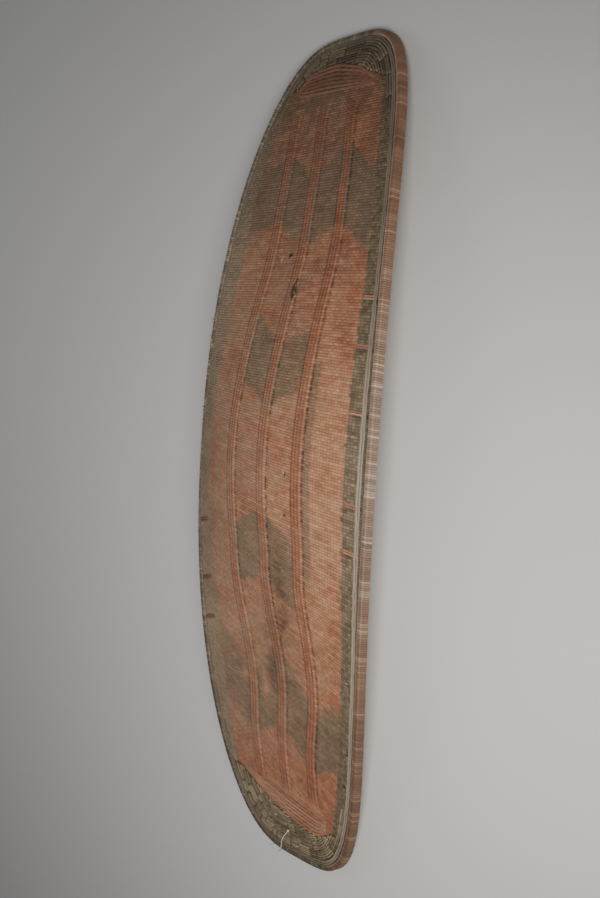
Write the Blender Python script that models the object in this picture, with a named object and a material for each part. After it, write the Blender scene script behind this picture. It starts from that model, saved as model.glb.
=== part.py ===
"""Woven cane shield, lying face up.

A long bowed panel of close wickerwork is held in a wrapped rim. Three raised ribs run down its front,
coarser strands finish both ends, and a wooden grip is lashed behind its middle.
Units are metres. X runs across the shield, Y along it and Z up, away from the hand.
The origin is on the floor, under the middle of the shield.
"""
import math

import bmesh
import bpy
import numpy as np
from mathutils import Matrix, Vector

# Outline, seen from the front
LENGTH = 1.25
WIDTH = 0.39
END_POWER = 2.15  # how soon the sides start to draw in towards the ends
CORNER_POWER = 3.6  # how square the ends are

# Form, seen from the side
BOW = 0.092  # how far the rim's ends lie below its middle
BOW_POWER = 2.2
CROWN = 0.032  # rise of the panel above the rim at mid length
CROWN_AT_ENDS = 0.001
CROWN_REACH = 0.323  # distance from the middle at which the bulge has died out
CROWN_POWER = 2.55  # flat over the middle, falling off at the sides
PANEL_THICKNESS = 0.007

# Wrapped rim
RIM_WIDTH = 0.010
RIM_DEPTH = 0.016
RIM_PROUD = 0.0015  # how far the rim stands above the edge of the panel
RIM_FLAT = 0.003  # depth worn off underneath, where the ends rest on the floor
RIM_RODS = 3  # canes bundled down the rim's depth
RIM_GROOVE = 0.0008  # how far the wrapping sinks between two canes

# Raised ribs on the front
RIB_SPACING = 0.0755
RIB_DRAW_IN = 0.022  # how much closer the outer ribs stand at the very ends
RIB_OFFSET = 0.0015  # the ribs stand a little to the right of the middle
RIB_WIDTH = 0.020
RIB_CREST = 0.012  # width of a rib's flat top
RIB_HEIGHT = 0.002
RIB_END = 0.115  # the ribs stop this far from the shield's ends
RIB_FADE = 0.03

# Drift of the ribs, as hand work leaves it: place and reach as shares of the half length, and amount
RIB_DRIFTS = ((0.85, 0.21, -0.014), (0.50, 0.22, 0.0065), (-0.31, 0.12, -0.005), (-0.55, 0.19, 0.0125))

# Border between the field and the rim
BORDER_LEFT = 0.038
BORDER_RIGHT = 0.027
BORDER_END = 0.044
BORDER_STRANDS = 4
STRAND_RELIEF = 0.0018
STRAND_START = 0.265  # distance from the end where the strands begin to show
STRAND_FULL = 0.165  # distance from the end where they stand at their full height

# Worn slit in the field
SLIT_X = 0.0087
SLIT_Y = 0.236
SLIT_LENGTH = 0.024
SLIT_WIDTH = 0.0045
SLIT_TURN = math.radians(-4)

# Grip behind the middle
GRIP_LENGTH = 0.200
GRIP_FOOT = 0.045
GRIP_BEND = 0.030  # length over which a foot turns into the bar
GRIP_TIP = 0.008  # length over which a foot narrows at its end
GRIP_TIP_SHARE = 0.8  # width left at the end, as a share of the foot's width
GRIP_SQUARENESS = 0.6  # 1 is an oval section, 0 a square one
GRIP_WIDTH = 0.034
GRIP_FOOT_THICKNESS = 0.009
GRIP_BAR_WIDTH = 0.025
GRIP_BAR_THICKNESS = 0.019
GRIP_GAP = 0.032  # clear height for the fingers
GRIP_SEAT = 0.0006  # clearance between a foot and the panel's curved back

# Cane lashings that hold the grip
LASH_WIDTH = 0.010
LASH_THICKNESS = 0.0016
LASH_SUNK = 0.0008  # the lashing's ends stop this far below the panel's front
LASH_SLACK = 0.0015  # room between the lashing and the underside of the foot

# Thread tied to the lower end
THREAD_DIAMETER = 0.0016
THREAD_SPACING = 0.0032  # distance between the points of the thread's tube
THREAD_ROUTE = (
    (-0.0099, -0.5810, 0.0290),
    (-0.0159, -0.5873, 0.0275),
    (-0.0218, -0.5936, 0.0261),
    (-0.0267, -0.5998, 0.0244),
    (-0.0306, -0.6054, 0.0224),
    (-0.0332, -0.6107, 0.0202),
    (-0.0364, -0.6164, 0.0176),
    (-0.0398, -0.6215, 0.0152),
    (-0.0447, -0.6265, 0.0104),
    (-0.0511, -0.6316, 0.0050),
    (-0.0561, -0.6351, 0.0018),
    (-0.0605, -0.6366, 0.0008),
    (-0.0681, -0.6370, 0.0008),
    (-0.0758, -0.6372, 0.0008),
    (-0.0809, -0.6366, 0.0008),
    (-0.0828, -0.6350, 0.0008),
    (-0.0804, -0.6328, 0.0008),
    (-0.0746, -0.6302, 0.0012),
    (-0.0664, -0.6263, 0.0030),
    (-0.0600, -0.6232, 0.0060),
)

GAP = 0.0003  # clearance between pieces that touch
OUTLINE_STEPS = 1500  # points to a quarter of the outline
TIP_SHARE = 0.9999  # keeps the outline's formula off its last point
NARROWEST = 0.02  # the least half width that the bulge is spread over, at the very tips
SIDE_ROWS = 36
ROW_CROWDING = 0.35  # 0 spaces the panel's rows evenly, more crowds them towards the ends

HALF_LENGTH = LENGTH / 2
HALF_WIDTH = WIDTH / 2
RIM_PLANE = BOW + RIM_DEPTH - RIM_PROUD - RIM_FLAT  # height of the panel's edge at mid length
CUT_DEPTH = 4 * PANEL_THICKNESS  # height of a cutter that has to pass right through the panel


def smooth_step(value):
    value = min(max(value, 0.0), 1.0)
    return value * value * (3 - 2 * value)


def half_width(y):
    reach = min(abs(y) / HALF_LENGTH, TIP_SHARE)
    return HALF_WIDTH * (1 - reach ** END_POWER) ** (1 / CORNER_POWER)


def edge_height(y):
    """Height of the panel's edge, which follows the bow of the rim."""
    return RIM_PLANE - BOW * (abs(y) / HALF_LENGTH) ** BOW_POWER


def crown_rise(y):
    bell = math.cos(math.pi / 2 * min(abs(y) / CROWN_REACH, 1.0)) ** 2
    return CROWN_AT_ENDS + (CROWN - CROWN_AT_ENDS) * bell


def front_height(x, y):
    """Height of the smooth front face, without ribs and strands."""
    share = min(abs(x) / max(half_width(y), NARROWEST), 1.0)
    return edge_height(y) + crown_rise(y) * (1 - share ** CROWN_POWER)


def back_height(x, y):
    return front_height(x, y) - PANEL_THICKNESS


def rib_middle(y):
    """Where the middle rib lies across the shield."""
    share = y / HALF_LENGTH
    drift = sum(amount * smooth_step(1 - abs(share - place) / reach) for place, reach, amount in RIB_DRIFTS)
    return RIB_OFFSET + drift


def rib_place(side, y):
    """Where a rib's middle lies across the shield: side is -1, 0 or 1."""
    return rib_middle(y) + side * (RIB_SPACING - RIB_DRAW_IN * (y / HALF_LENGTH) ** 2)


class Outline:
    """The shield's outline as a dense closed curve, with its outward normals."""

    def __init__(self):
        rise = 1 - (1 - np.linspace(0, 1, OUTLINE_STEPS)) ** 2
        angle = math.pi / 2 * rise
        x = HALF_WIDTH * np.abs(np.cos(angle)) ** (2 / CORNER_POWER)
        y = HALF_LENGTH * np.sin(angle) ** (2 / END_POWER)
        x[-1] = 0.0
        quarter = np.stack([x, y], axis=1)
        mirrored = quarter[::-1][1:] * (-1, 1)
        upper = np.concatenate([quarter, mirrored])
        lower = upper[::-1][1:-1] * (1, -1)
        self.points = np.concatenate([upper, lower])
        tangent = np.roll(self.points, -1, axis=0) - np.roll(self.points, 1, axis=0)
        tangent /= np.linalg.norm(tangent, axis=1)[:, None]
        self.normals = np.stack([tangent[:, 1], -tangent[:, 0]], axis=1)
        side = np.where(self.normals[:, 0] < 0, BORDER_LEFT, BORDER_RIGHT)
        across = self.normals[:, 0] ** 2
        self.border = side * across + BORDER_END * (1 - across)
        edge = self.points - self.normals * (RIM_WIDTH + GAP)
        self.field = edge - self.normals * self.border[:, None]

    def corners(self):
        """The four places where the outline turns from a side to an end."""
        signs = ((1, 1), (-1, 1), (-1, -1), (1, -1))
        return [int(np.argmin(np.linalg.norm(self.normals - np.array(sign) / math.sqrt(2), axis=1)))
                for sign in signs]

    def station(self, first, last, axis, value):
        """The curve's place, between two corners, whose field edge has this X (axis 0) or Y (axis 1)."""
        count = len(self.points)
        span = (last - first) % count
        index = (first + np.arange(span + 1)) % count
        along = self.field[index, axis]
        if along[0] > along[-1]:
            return index[::-1][int(np.searchsorted(along[::-1], value).clip(0, span))]
        return index[int(np.searchsorted(along, value).clip(0, span))]


def make_material(name, colour, roughness):
    material = bpy.data.materials.new(name)
    material.use_nodes = True
    shader = material.node_tree.nodes["Principled BSDF"]
    shader.inputs["Base Color"].default_value = (*colour, 1)
    shader.inputs["Roughness"].default_value = roughness
    shader.inputs["Metallic"].default_value = 0.0
    return material


def make_object(name, points, faces, material, crease_angle=40):
    mesh = bpy.data.meshes.new(name)
    mesh.from_pydata([tuple(point) for point in points], [], faces)
    form = bmesh.new()
    form.from_mesh(mesh)
    bmesh.ops.recalc_face_normals(form, faces=form.faces)
    form.to_mesh(mesh)
    form.free()
    mesh.shade_smooth()
    mesh.set_sharp_from_angle(angle=math.radians(crease_angle))
    mesh.materials.append(material)
    made = bpy.data.objects.new(name, mesh)
    bpy.context.scene.collection.objects.link(made)
    return made


def panel_columns():
    """The field's columns, left to right, as functions of the share along it and the Y of their ends."""
    anchors = [("edge", -1, 0.0)]
    for side in (-1, 0, 1):
        for offset in (-RIB_WIDTH / 2, -RIB_CREST / 2, RIB_CREST / 2, RIB_WIDTH / 2):
            anchors.append(("rib", side, offset))
    anchors.append(("edge", 1, 0.0))
    columns = []
    for first, second in zip(anchors, anchors[1:]):
        columns.append((first, second, 0.0))
        if first[0] == "edge" or second[0] == "edge" or first[1] != second[1]:
            columns.append((first, second, 1 / 3))
            columns.append((first, second, 2 / 3))
    columns.append((anchors[-1], anchors[-1], 0.0))
    return columns


def row_shares():
    """Shares from -1 to 1 along the field, closer together towards the ends."""
    steps = np.linspace(-1, 1, SIDE_ROWS + 1)
    return (1 - ROW_CROWDING) * steps + ROW_CROWDING * np.sin(math.pi / 2 * steps)


def anchor_place(anchor, outline, corners, share, end_y):
    """The X of one anchor line where it has come this share of the way to its end."""
    kind, side, offset = anchor
    if kind == "rib":
        return rib_place(side, share * end_y) + offset
    if side > 0:
        station = outline.station(corners[3], corners[0], 1, share * outline.field[corners[0], 1])
    else:
        station = outline.station(corners[1], corners[2], 1, share * outline.field[corners[1], 1])
    return outline.field[station, 0]


def lay_out_panel(outline):
    """The field's grid of places, and the outline stations around it in order."""
    corners = outline.corners()
    columns = panel_columns()
    shares = row_shares()
    right_top, left_top, left_low, right_low = corners
    end_guess = outline.field[:, 1].max()
    end_x = []
    for first, second, mix in columns:
        ends = [anchor_place(anchor, outline, corners, 1.0, end_guess) for anchor in (first, second)]
        end_x.append(ends[0] * (1 - mix) + ends[1] * mix)
    top = [outline.station(right_top, left_top, 0, x) for x in end_x]
    low = [outline.station(left_low, right_low, 0, x) for x in end_x]
    top[0], top[-1], low[0], low[-1] = left_top, right_top, left_low, right_low
    left = [outline.station(left_top, left_low, 1, s * outline.field[left_top, 1]) for s in shares]
    right = [outline.station(right_low, right_top, 1, s * outline.field[right_top, 1]) for s in shares]
    left[0], left[-1], right[0], right[-1] = left_low, left_top, right_low, right_top

    grid = []
    last_row = len(shares) - 1
    for row, share in enumerate(shares):
        places = []
        for column, (first, second, mix) in enumerate(columns):
            end_y = outline.field[top[column], 1]
            if row == 0:
                place = outline.field[low[column]]
            elif row == last_row:
                place = outline.field[top[column]]
            elif column == 0:
                place = outline.field[left[row]]
            elif column == len(columns) - 1:
                place = outline.field[right[row]]
            else:
                ends = [anchor_place(anchor, outline, corners, share, end_y) for anchor in (first, second)]
                place = (ends[0] * (1 - mix) + ends[1] * mix, share * end_y)
            places.append((float(place[0]), float(place[1])))
        grid.append(places)
    around = low + right[1:] + top[::-1][1:] + left[::-1][1:-1]
    return grid, columns, around


def rib_rise(column, y):
    """Height of a rib above the field for the crest columns, dying out towards its ends."""
    kind, _side, offset = column[0]
    if kind != "rib" or column[2] != 0.0 or abs(offset) > RIB_CREST / 2:
        return 0.0
    return RIB_HEIGHT * smooth_step((HALF_LENGTH - RIB_END - abs(y)) / RIB_FADE)


def make_panel(outline, material):
    """The wickerwork: field, ribs and border in one piece, closed by a flat edge."""
    grid, columns, around = lay_out_panel(outline)
    rows = len(grid)
    width = len(columns)
    points = []
    for row in grid:
        for column, (x, y) in zip(columns, row):
            points.append((x, y, front_height(x, y) + rib_rise(column, y)))
    inner_ring = [column for column in range(width)]
    inner_ring += [row * width + width - 1 for row in range(1, rows)]
    inner_ring += [(rows - 1) * width + column for column in range(width - 2, -1, -1)]
    inner_ring += [row * width for row in range(rows - 2, 0, -1)]
    faces = []
    for row in range(rows - 1):
        for column in range(width - 1):
            corner = row * width + column
            faces.append((corner, corner + 1, corner + width + 1, corner + width))

    ring = inner_ring
    levels = 2 * BORDER_STRANDS
    for level in range(1, levels + 1):
        share = level / levels
        start = len(points)
        crest = 1.0 if level % 2 else 0.0
        for station in around:
            x, y = outline.field[station] + outline.normals[station] * outline.border[station] * share
            end = smooth_step((abs(y) - HALF_LENGTH + STRAND_START) / (STRAND_START - STRAND_FULL))
            points.append((float(x), float(y), front_height(x, y) + STRAND_RELIEF * crest * end))
        next_ring = list(range(start, start + len(around)))
        faces += bridge(ring, next_ring)
        ring = next_ring

    low_edge = []
    for index in ring:
        x, y, _z = points[index]
        points.append((x, y, back_height(x, y)))
        low_edge.append(len(points) - 1)
    faces += bridge(ring, low_edge)
    back_start = len(points)
    for x, y, _z in points[:rows * width]:
        points.append((x, y, back_height(x, y)))
    back_ring = [back_start + index for index in inner_ring]
    faces += bridge(low_edge, back_ring)
    for face in faces[:(rows - 1) * (width - 1)]:
        faces.append(tuple(back_start + index for index in reversed(face)))
    return make_object("woven_panel", points, faces, material), around


def bridge(first, second):
    """Quads between two closed rings of the same length."""
    count = len(first)
    return [(first[i], second[i], second[(i + 1) % count], first[(i + 1) % count]) for i in range(count)]


def rim_section():
    """The rim's section as (outward, up) pairs: canes side by side, whose wrapping sinks between them."""
    rod = RIM_DEPTH / RIM_RODS
    outer = RIM_WIDTH / 2
    top = RIM_DEPTH / 2
    corner = min(rod, RIM_WIDTH) / 2
    section = [(outer - corner, -top)]
    for index in range(RIM_RODS):
        if index:
            section.append((outer - RIM_GROOVE, -top + rod * index))
        section.append((outer, -top + rod * (index + 0.5)))
    section += [(outer - corner, top), (corner - outer, top)]
    section += [(-outer, top - corner), (-outer, corner - top), (corner - outer, -top)]
    return section


def make_rim(outline, around, material):
    """The hoop round the panel, a closed ring whose underside is flat where it meets the floor."""
    points = []
    faces = []
    section = rim_section()
    for station in around:
        middle = outline.points[station] - outline.normals[station] * RIM_WIDTH / 2
        for out, up in section:
            x, y = middle + outline.normals[station] * out
            height = edge_height(y) + RIM_PROUD - RIM_DEPTH / 2 + up
            points.append((float(x), float(y), max(height, 0.0)))
    sides = len(section)
    count = len(around)
    for station in range(count):
        following = (station + 1) % count
        for side in range(sides):
            across = (side + 1) % sides
            faces.append((station * sides + side, station * sides + across,
                          following * sides + across, following * sides + side))
    return make_object("rim_hoop", points, faces, material)


def grip_section(middle, width, thickness, steps=12):
    """A rounded cross-section of the grip as (across, up) pairs, round a height."""
    places = []
    for step in range(steps):
        turn = 2 * math.pi * (step + 0.5) / steps
        across = math.copysign(abs(math.cos(turn)) ** GRIP_SQUARENESS, math.cos(turn)) * width / 2
        up = math.copysign(abs(math.sin(turn)) ** GRIP_SQUARENESS, math.sin(turn)) * thickness / 2
        places.append((across, middle + up))
    return places


def make_grip(material, stations=30):
    """The grip: two flat feet under the panel, joined by a bar that stands clear for the fingers."""
    half = GRIP_LENGTH / 2
    bar_end = half - GRIP_FOOT + GRIP_BEND / 2
    points = []
    for step in range(stations + 1):
        y = -half + GRIP_LENGTH * step / stations
        bar = smooth_step((bar_end - abs(y)) / GRIP_BEND)
        tip = smooth_step((half - abs(y)) / GRIP_TIP)
        thickness = GRIP_FOOT_THICKNESS + (GRIP_BAR_THICKNESS - GRIP_FOOT_THICKNESS) * bar
        width = GRIP_WIDTH + (GRIP_BAR_WIDTH - GRIP_WIDTH) * bar
        width *= GRIP_TIP_SHARE + (1 - GRIP_TIP_SHARE) * tip
        seat = back_height(GRIP_WIDTH / 2, y) - GRIP_SEAT
        section = grip_section(seat - GRIP_GAP * bar - thickness / 2, width, thickness)
        points += [(across, y, height) for across, height in section]
    sides = len(section)
    rings = [list(range(start, start + sides)) for start in range(0, len(points), sides)]
    faces = [tuple(rings[0]), tuple(reversed(rings[-1]))]
    for first, second in zip(rings, rings[1:]):
        faces += bridge(first, second)
    return make_object("hand_grip", points, faces, material)


def lash_frame(y):
    """The place of a lashing: square to the panel's back at this Y."""
    rise = back_height(0, y + LASH_WIDTH / 2) - back_height(0, y - LASH_WIDTH / 2)
    slope = math.atan2(rise, LASH_WIDTH)
    return Matrix.Translation((0, y, back_height(0, y))) @ Matrix.Rotation(slope, 4, "X")


def lash_inner_half():
    return GRIP_WIDTH / 2 + GAP


def make_lashing(name, y, material):
    """A band of cane under a foot of the grip, whose two ends are worked into the thickness of the panel."""
    half = lash_inner_half()
    top = PANEL_THICKNESS - LASH_SUNK
    low = -GRIP_FOOT_THICKNESS - GRIP_SEAT - LASH_SLACK
    outer_half = half + LASH_THICKNESS
    outer_low = low - LASH_THICKNESS
    inner = [(-half, top), (-half, low), (half, low), (half, top)]
    outer = [(-outer_half, top), (-outer_half, outer_low), (outer_half, outer_low), (outer_half, top)]
    frame = lash_frame(y)
    points = []
    for loop, along in ((inner, -1), (outer, -1), (outer, 1), (inner, 1)):
        for across, up in loop:
            points.append(frame @ Vector((across, along * LASH_WIDTH / 2, up)))
    count = len(inner)
    rings = [[ring * count + place for ring in range(4)] for place in range(count)]
    faces = [tuple(rings[0]), tuple(reversed(rings[-1]))]
    for first, second in zip(rings, rings[1:]):
        faces += bridge(first, second)
    return make_object(name, points, faces, material)


def cut_from(target, cutter):
    cutter.hide_render = True
    cutter.display_type = "WIRE"
    cut = target.modifiers.new(cutter.name, "BOOLEAN")
    cut.operation = "DIFFERENCE"
    cut.solver = "EXACT"
    cut.object = cutter


def make_block(name, size, frame):
    """A closed block, placed by a matrix, used only for cutting."""
    mesh = bpy.data.meshes.new(name)
    form = bmesh.new()
    bmesh.ops.create_cube(form, size=1.0, matrix=Matrix.Diagonal((*size, 1)))
    form.to_mesh(mesh)
    form.free()
    made = bpy.data.objects.new(name, mesh)
    made.matrix_world = frame
    bpy.context.scene.collection.objects.link(made)
    return made


def cut_lash_holes(panel, y, label):
    """The two openings that a lashing's ends pass through."""
    middle = lash_inner_half() + LASH_THICKNESS / 2
    size = (LASH_THICKNESS + 2 * GAP, LASH_WIDTH + 2 * GAP, CUT_DEPTH)
    for side in (-1, 1):
        frame = lash_frame(y) @ Matrix.Translation((side * middle, 0, PANEL_THICKNESS / 2))
        cut_from(panel, make_block(f"{label}_hole_{'left' if side < 0 else 'right'}", size, frame))


def cut_slit(panel):
    """The worn slit: a thin lens-shaped opening right through the weave."""
    mesh = bpy.data.meshes.new("slit_cutter")
    form = bmesh.new()
    outline = []
    steps = 5  # corners along each side of the slit
    for side in (1, -1):
        for step in range(steps):
            share = -1 + 2 * step / steps
            outline.append((side * SLIT_WIDTH / 2 * (1 - share ** 2), side * share * SLIT_LENGTH / 2))
    low = [form.verts.new((x, y, -CUT_DEPTH / 2)) for x, y in outline]
    face = form.faces.new(low)
    grown = bmesh.ops.extrude_face_region(form, geom=[face])
    raised = [item for item in grown["geom"] if isinstance(item, bmesh.types.BMVert)]
    bmesh.ops.translate(form, verts=raised, vec=(0, 0, CUT_DEPTH))
    bmesh.ops.recalc_face_normals(form, faces=form.faces)
    form.to_mesh(mesh)
    form.free()
    cutter = bpy.data.objects.new("slit_cutter", mesh)
    middle = front_height(SLIT_X, SLIT_Y) - PANEL_THICKNESS / 2
    cutter.matrix_world = Matrix.Translation((SLIT_X, SLIT_Y, middle)) @ Matrix.Rotation(SLIT_TURN, 4, "Z")
    bpy.context.scene.collection.objects.link(cutter)
    cut_from(panel, cutter)


def smooth_route(route, spacing, fine=24):
    """Evenly spaced points on a smooth curve through the route's own points."""
    knots = [Vector(point) for point in route]
    knots = [2 * knots[0] - knots[1]] + knots + [2 * knots[-1] - knots[-2]]
    dense = []
    for a, b, c, d in zip(knots, knots[1:], knots[2:], knots[3:]):
        for step in range(fine):
            t = step / fine
            dense.append(0.5 * (2 * b + (c - a) * t + (2 * a - 5 * b + 4 * c - d) * t ** 2
                                + (3 * b - a - 3 * c + d) * t ** 3))
    dense.append(knots[-2])
    lengths = [0.0]
    for first, second in zip(dense, dense[1:]):
        lengths.append(lengths[-1] + (second - first).length)
    count = max(2, round(lengths[-1] / spacing))
    places = []
    for step in range(count + 1):
        target = lengths[-1] * step / count
        index = min(max(int(np.searchsorted(lengths, target)), 1), len(dense) - 1)
        span = max(lengths[index] - lengths[index - 1], 1e-9)
        places.append(dense[index - 1].lerp(dense[index], (target - lengths[index - 1]) / span))
    return places


def make_thread(material):
    curve = bpy.data.curves.new("thread_tie", "CURVE")
    curve.dimensions = "3D"
    curve.bevel_depth = THREAD_DIAMETER / 2
    curve.bevel_resolution = 2
    curve.use_fill_caps = True
    places = smooth_route(THREAD_ROUTE, THREAD_SPACING)
    spline = curve.splines.new("POLY")
    spline.points.add(len(places) - 1)
    for point, place in zip(spline.points, places):
        point.co = (*place, 1)
    curve.materials.append(material)
    made = bpy.data.objects.new("thread_tie", curve)
    bpy.context.scene.collection.objects.link(made)
    return made


def build():
    for old in list(bpy.data.objects):
        bpy.data.objects.remove(old)
    weave = make_material("woven cane", (0.30, 0.15, 0.10), 0.8)
    rim_cane = make_material("rim cane", (0.36, 0.22, 0.15), 0.6)
    wood = make_material("grip wood", (0.20, 0.12, 0.07), 0.55)
    lash_cane = make_material("lashing cane", (0.33, 0.22, 0.13), 0.65)
    cotton = make_material("white thread", (0.75, 0.73, 0.66), 0.9)

    outline = Outline()
    panel, around = make_panel(outline, weave)
    make_rim(outline, around, rim_cane)
    make_grip(wood)
    lash_y = GRIP_LENGTH / 2 - GRIP_FOOT / 2
    for label, y in (("grip_lashing_upper", lash_y), ("grip_lashing_lower", -lash_y)):
        make_lashing(label, y, lash_cane)
        cut_lash_holes(panel, y, label)
    cut_slit(panel)
    make_thread(cotton)


build()
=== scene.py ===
# %% [markdown]
# # A woven cane shield
#
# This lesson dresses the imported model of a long, bowed shield of wickerwork. The real shield is woven in
# one piece from thin cane, dyed red and dark olive, and held in a hoop of canes that is bound all round.
# Behind its middle a wooden grip is lashed on with split cane, and a white thread is tied to its lower
# end. Everything is in metres: X runs across the shield, Y along it, and Z up, away from the hand.

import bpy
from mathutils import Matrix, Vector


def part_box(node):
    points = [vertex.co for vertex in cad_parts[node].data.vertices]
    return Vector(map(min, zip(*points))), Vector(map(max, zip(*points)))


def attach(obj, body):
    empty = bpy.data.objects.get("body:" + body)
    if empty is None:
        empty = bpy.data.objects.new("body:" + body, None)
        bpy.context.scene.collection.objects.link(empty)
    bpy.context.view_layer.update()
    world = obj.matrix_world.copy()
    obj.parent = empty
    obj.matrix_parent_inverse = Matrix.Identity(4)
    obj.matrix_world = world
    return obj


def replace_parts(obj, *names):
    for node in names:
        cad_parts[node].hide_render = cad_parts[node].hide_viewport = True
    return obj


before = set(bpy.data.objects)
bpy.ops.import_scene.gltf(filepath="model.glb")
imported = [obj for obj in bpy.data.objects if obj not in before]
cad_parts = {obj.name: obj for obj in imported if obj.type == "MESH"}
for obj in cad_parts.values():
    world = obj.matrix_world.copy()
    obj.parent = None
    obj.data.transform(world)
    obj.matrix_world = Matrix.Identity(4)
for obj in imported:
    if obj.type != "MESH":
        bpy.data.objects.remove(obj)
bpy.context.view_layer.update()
print("nodes:", sorted(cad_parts))

# %% Modules, and a clean selection
import math

import bpy
import numpy as np
from mathutils import Matrix, Vector

bpy.ops.object.select_all(action="DESELECT")

# %% [markdown]
# ## The camera
#
# The photograph looks at the shield from its right-hand side, well above the edge, with a long lens. A
# camera can be placed by eye, but here its place was worked out from the outline, the ribs and the rim,
# so the angles below are measured ones. The view is turned a little about its own axis, which the roll
# takes up.

# %% Camera
PHOTO_HEIGHT = 898  # pixels, the photograph's long side
FOCAL_PIXELS = 1091.2  # focal length in the photograph's pixels
SENSOR = 36.0  # millimetres, on the long side
VIEW_YAW = math.radians(49.669)
VIEW_PITCH = math.radians(2.394)
VIEW_ROLL = math.radians(3.634)
VIEW_DISTANCE = 1.553
RIM_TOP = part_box("rim_hoop")[1].z
RIM_PROUD = 0.0015  # the rim stands this far above the panel's edge
RIM_PLANE = RIM_TOP - RIM_PROUD
VIEW_TARGET = Vector((0.0494, 0.0085, RIM_PLANE))


def add_camera():
    ahead = Vector((-math.sin(VIEW_YAW) * math.cos(VIEW_PITCH), -math.sin(VIEW_PITCH),
                    -math.cos(VIEW_YAW) * math.cos(VIEW_PITCH)))
    level_right = ahead.cross(Vector((0, 1, 0))).normalized()
    level_up = level_right.cross(ahead)
    right = level_right * math.cos(VIEW_ROLL) + level_up * math.sin(VIEW_ROLL)
    up = level_up * math.cos(VIEW_ROLL) - level_right * math.sin(VIEW_ROLL)
    turn = Matrix((right, up, -ahead)).transposed()
    bpy.ops.object.camera_add()
    camera = bpy.context.object
    camera.name = "view_from_the_right"
    camera.matrix_world = Matrix.Translation(VIEW_TARGET - ahead * VIEW_DISTANCE) @ turn.to_4x4()
    camera.data.sensor_width = SENSOR
    camera.data.lens = SENSOR * FOCAL_PIXELS / PHOTO_HEIGHT
    bpy.context.scene.camera = camera
    return camera


camera = add_camera()
print("camera at", tuple(round(value, 3) for value in camera.location), "lens", round(camera.data.lens, 2))

# %% [markdown]
# ## Helpers for swept canes
#
# Thread, canes, lashings and loose fibres are all one kind of shape: a small section carried along a
# path. A curve with a bevel could give it, but a mesh can also carry a colour value for each cane and
# coordinates that run along it, so one helper sweeps any number of canes into one mesh.

# %% Canes swept along paths
def unit(vectors):
    return vectors / np.linalg.norm(vectors, axis=-1, keepdims=True)


def directions(path, closed=False):
    """The direction of travel at each point of a path."""
    ahead = np.roll(path, -1, axis=0) - np.roll(path, 1, axis=0)
    if not closed:
        ahead[0] = path[1] - path[0]
        ahead[-1] = path[-1] - path[-2]
    return unit(ahead)


class Bundle:
    """Many canes or fibres, each swept along its own path, kept as one mesh."""

    def __init__(self):
        self.points, self.faces, self.corners = [], [], []
        self.values = {"tint": [], "shade": []}

    def add(self, path, up, width, thickness, tint=0.5, sides=6, closed=False, scale=1.0, shade=0.0):
        """One cane: its size across and up, which scale can change for each ring or for each point."""
        count = len(path)
        ahead = directions(path, closed)
        side = unit(np.cross(ahead, np.broadcast_to(np.asarray(up, float), path.shape)))
        lift = np.cross(side, ahead)
        turn = 2 * math.pi * (np.arange(sides) + 0.5) / sides
        size = np.asarray(scale, float)
        size = size if size.ndim == 2 else np.broadcast_to(size, count)[:, None]
        across = size * np.cos(turn) * width / 2
        raised = size * np.sin(turn) * thickness / 2
        rings = path[:, None] + side[:, None] * across[..., None] + lift[:, None] * raised[..., None]
        start = sum(len(block) for block in self.points)
        self.points.append(rings.reshape(-1, 3))
        self.values["tint"].append(np.repeat(np.broadcast_to(np.asarray(tint, float), (count,)), sides))
        self.values["shade"].append(np.repeat(np.broadcast_to(np.asarray(shade, float), (count,)), sides))
        steps = np.linalg.norm(np.diff(path, axis=0, append=path[:1]), axis=1)
        along = np.concatenate([[0.0], np.cumsum(steps)])
        for ring in range(count if closed else count - 1):
            following = (ring + 1) % count
            for corner in range(sides):
                neighbour = (corner + 1) % sides
                self.faces.append((start + ring * sides + corner, start + following * sides + corner,
                                   start + following * sides + neighbour, start + ring * sides + neighbour))
                low, high = corner / sides, (corner + 1) / sides
                self.corners += [(along[ring], low), (along[ring + 1], low),
                                 (along[ring + 1], high), (along[ring], high)]
        if not closed:
            last = start + (count - 1) * sides
            self.faces.append(tuple(range(start, start + sides)))
            self.faces.append(tuple(reversed(range(last, last + sides))))
            self.corners += [(along[0], corner / sides) for corner in range(sides)]
            self.corners += [(along[count - 1], corner / sides) for corner in range(sides)]

    def finish(self, name, material):
        values = {label: np.concatenate(blocks) for label, blocks in self.values.items()}
        return make_piece(name, np.concatenate(self.points), self.faces, material,
                          self.corners, values)

# %% One mesh from points and faces
def make_piece(name, points, faces, material, corners, values, crease=50):
    """A piece of the shield, with coordinates for its material, riding on the shield's one body."""
    mesh = bpy.data.meshes.new(name)
    mesh.from_pydata(points, [], faces)
    lay = mesh.uv_layers.new(name="lay")
    lay.data.foreach_set("uv", np.asarray(corners, np.float32).ravel())
    for label, numbers in values.items():
        attribute = mesh.attributes.new(label, "FLOAT", "POINT")
        attribute.data.foreach_set("value", np.asarray(numbers, np.float32))
    mesh.shade_smooth()
    mesh.set_sharp_from_angle(angle=math.radians(crease))
    mesh.materials.append(material)
    piece = bpy.data.objects.new(name, mesh)
    bpy.context.scene.collection.objects.link(piece)
    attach(piece, "root")
    print(name, sum(len(face) - 2 for face in faces), "triangles")
    return piece

# %% [markdown]
# ## Helpers for materials
#
# Materials here are networks of nodes. Each small function below adds one kind of node and joins it up,
# so that the recipe of a finish reads from top to bottom.

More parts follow.
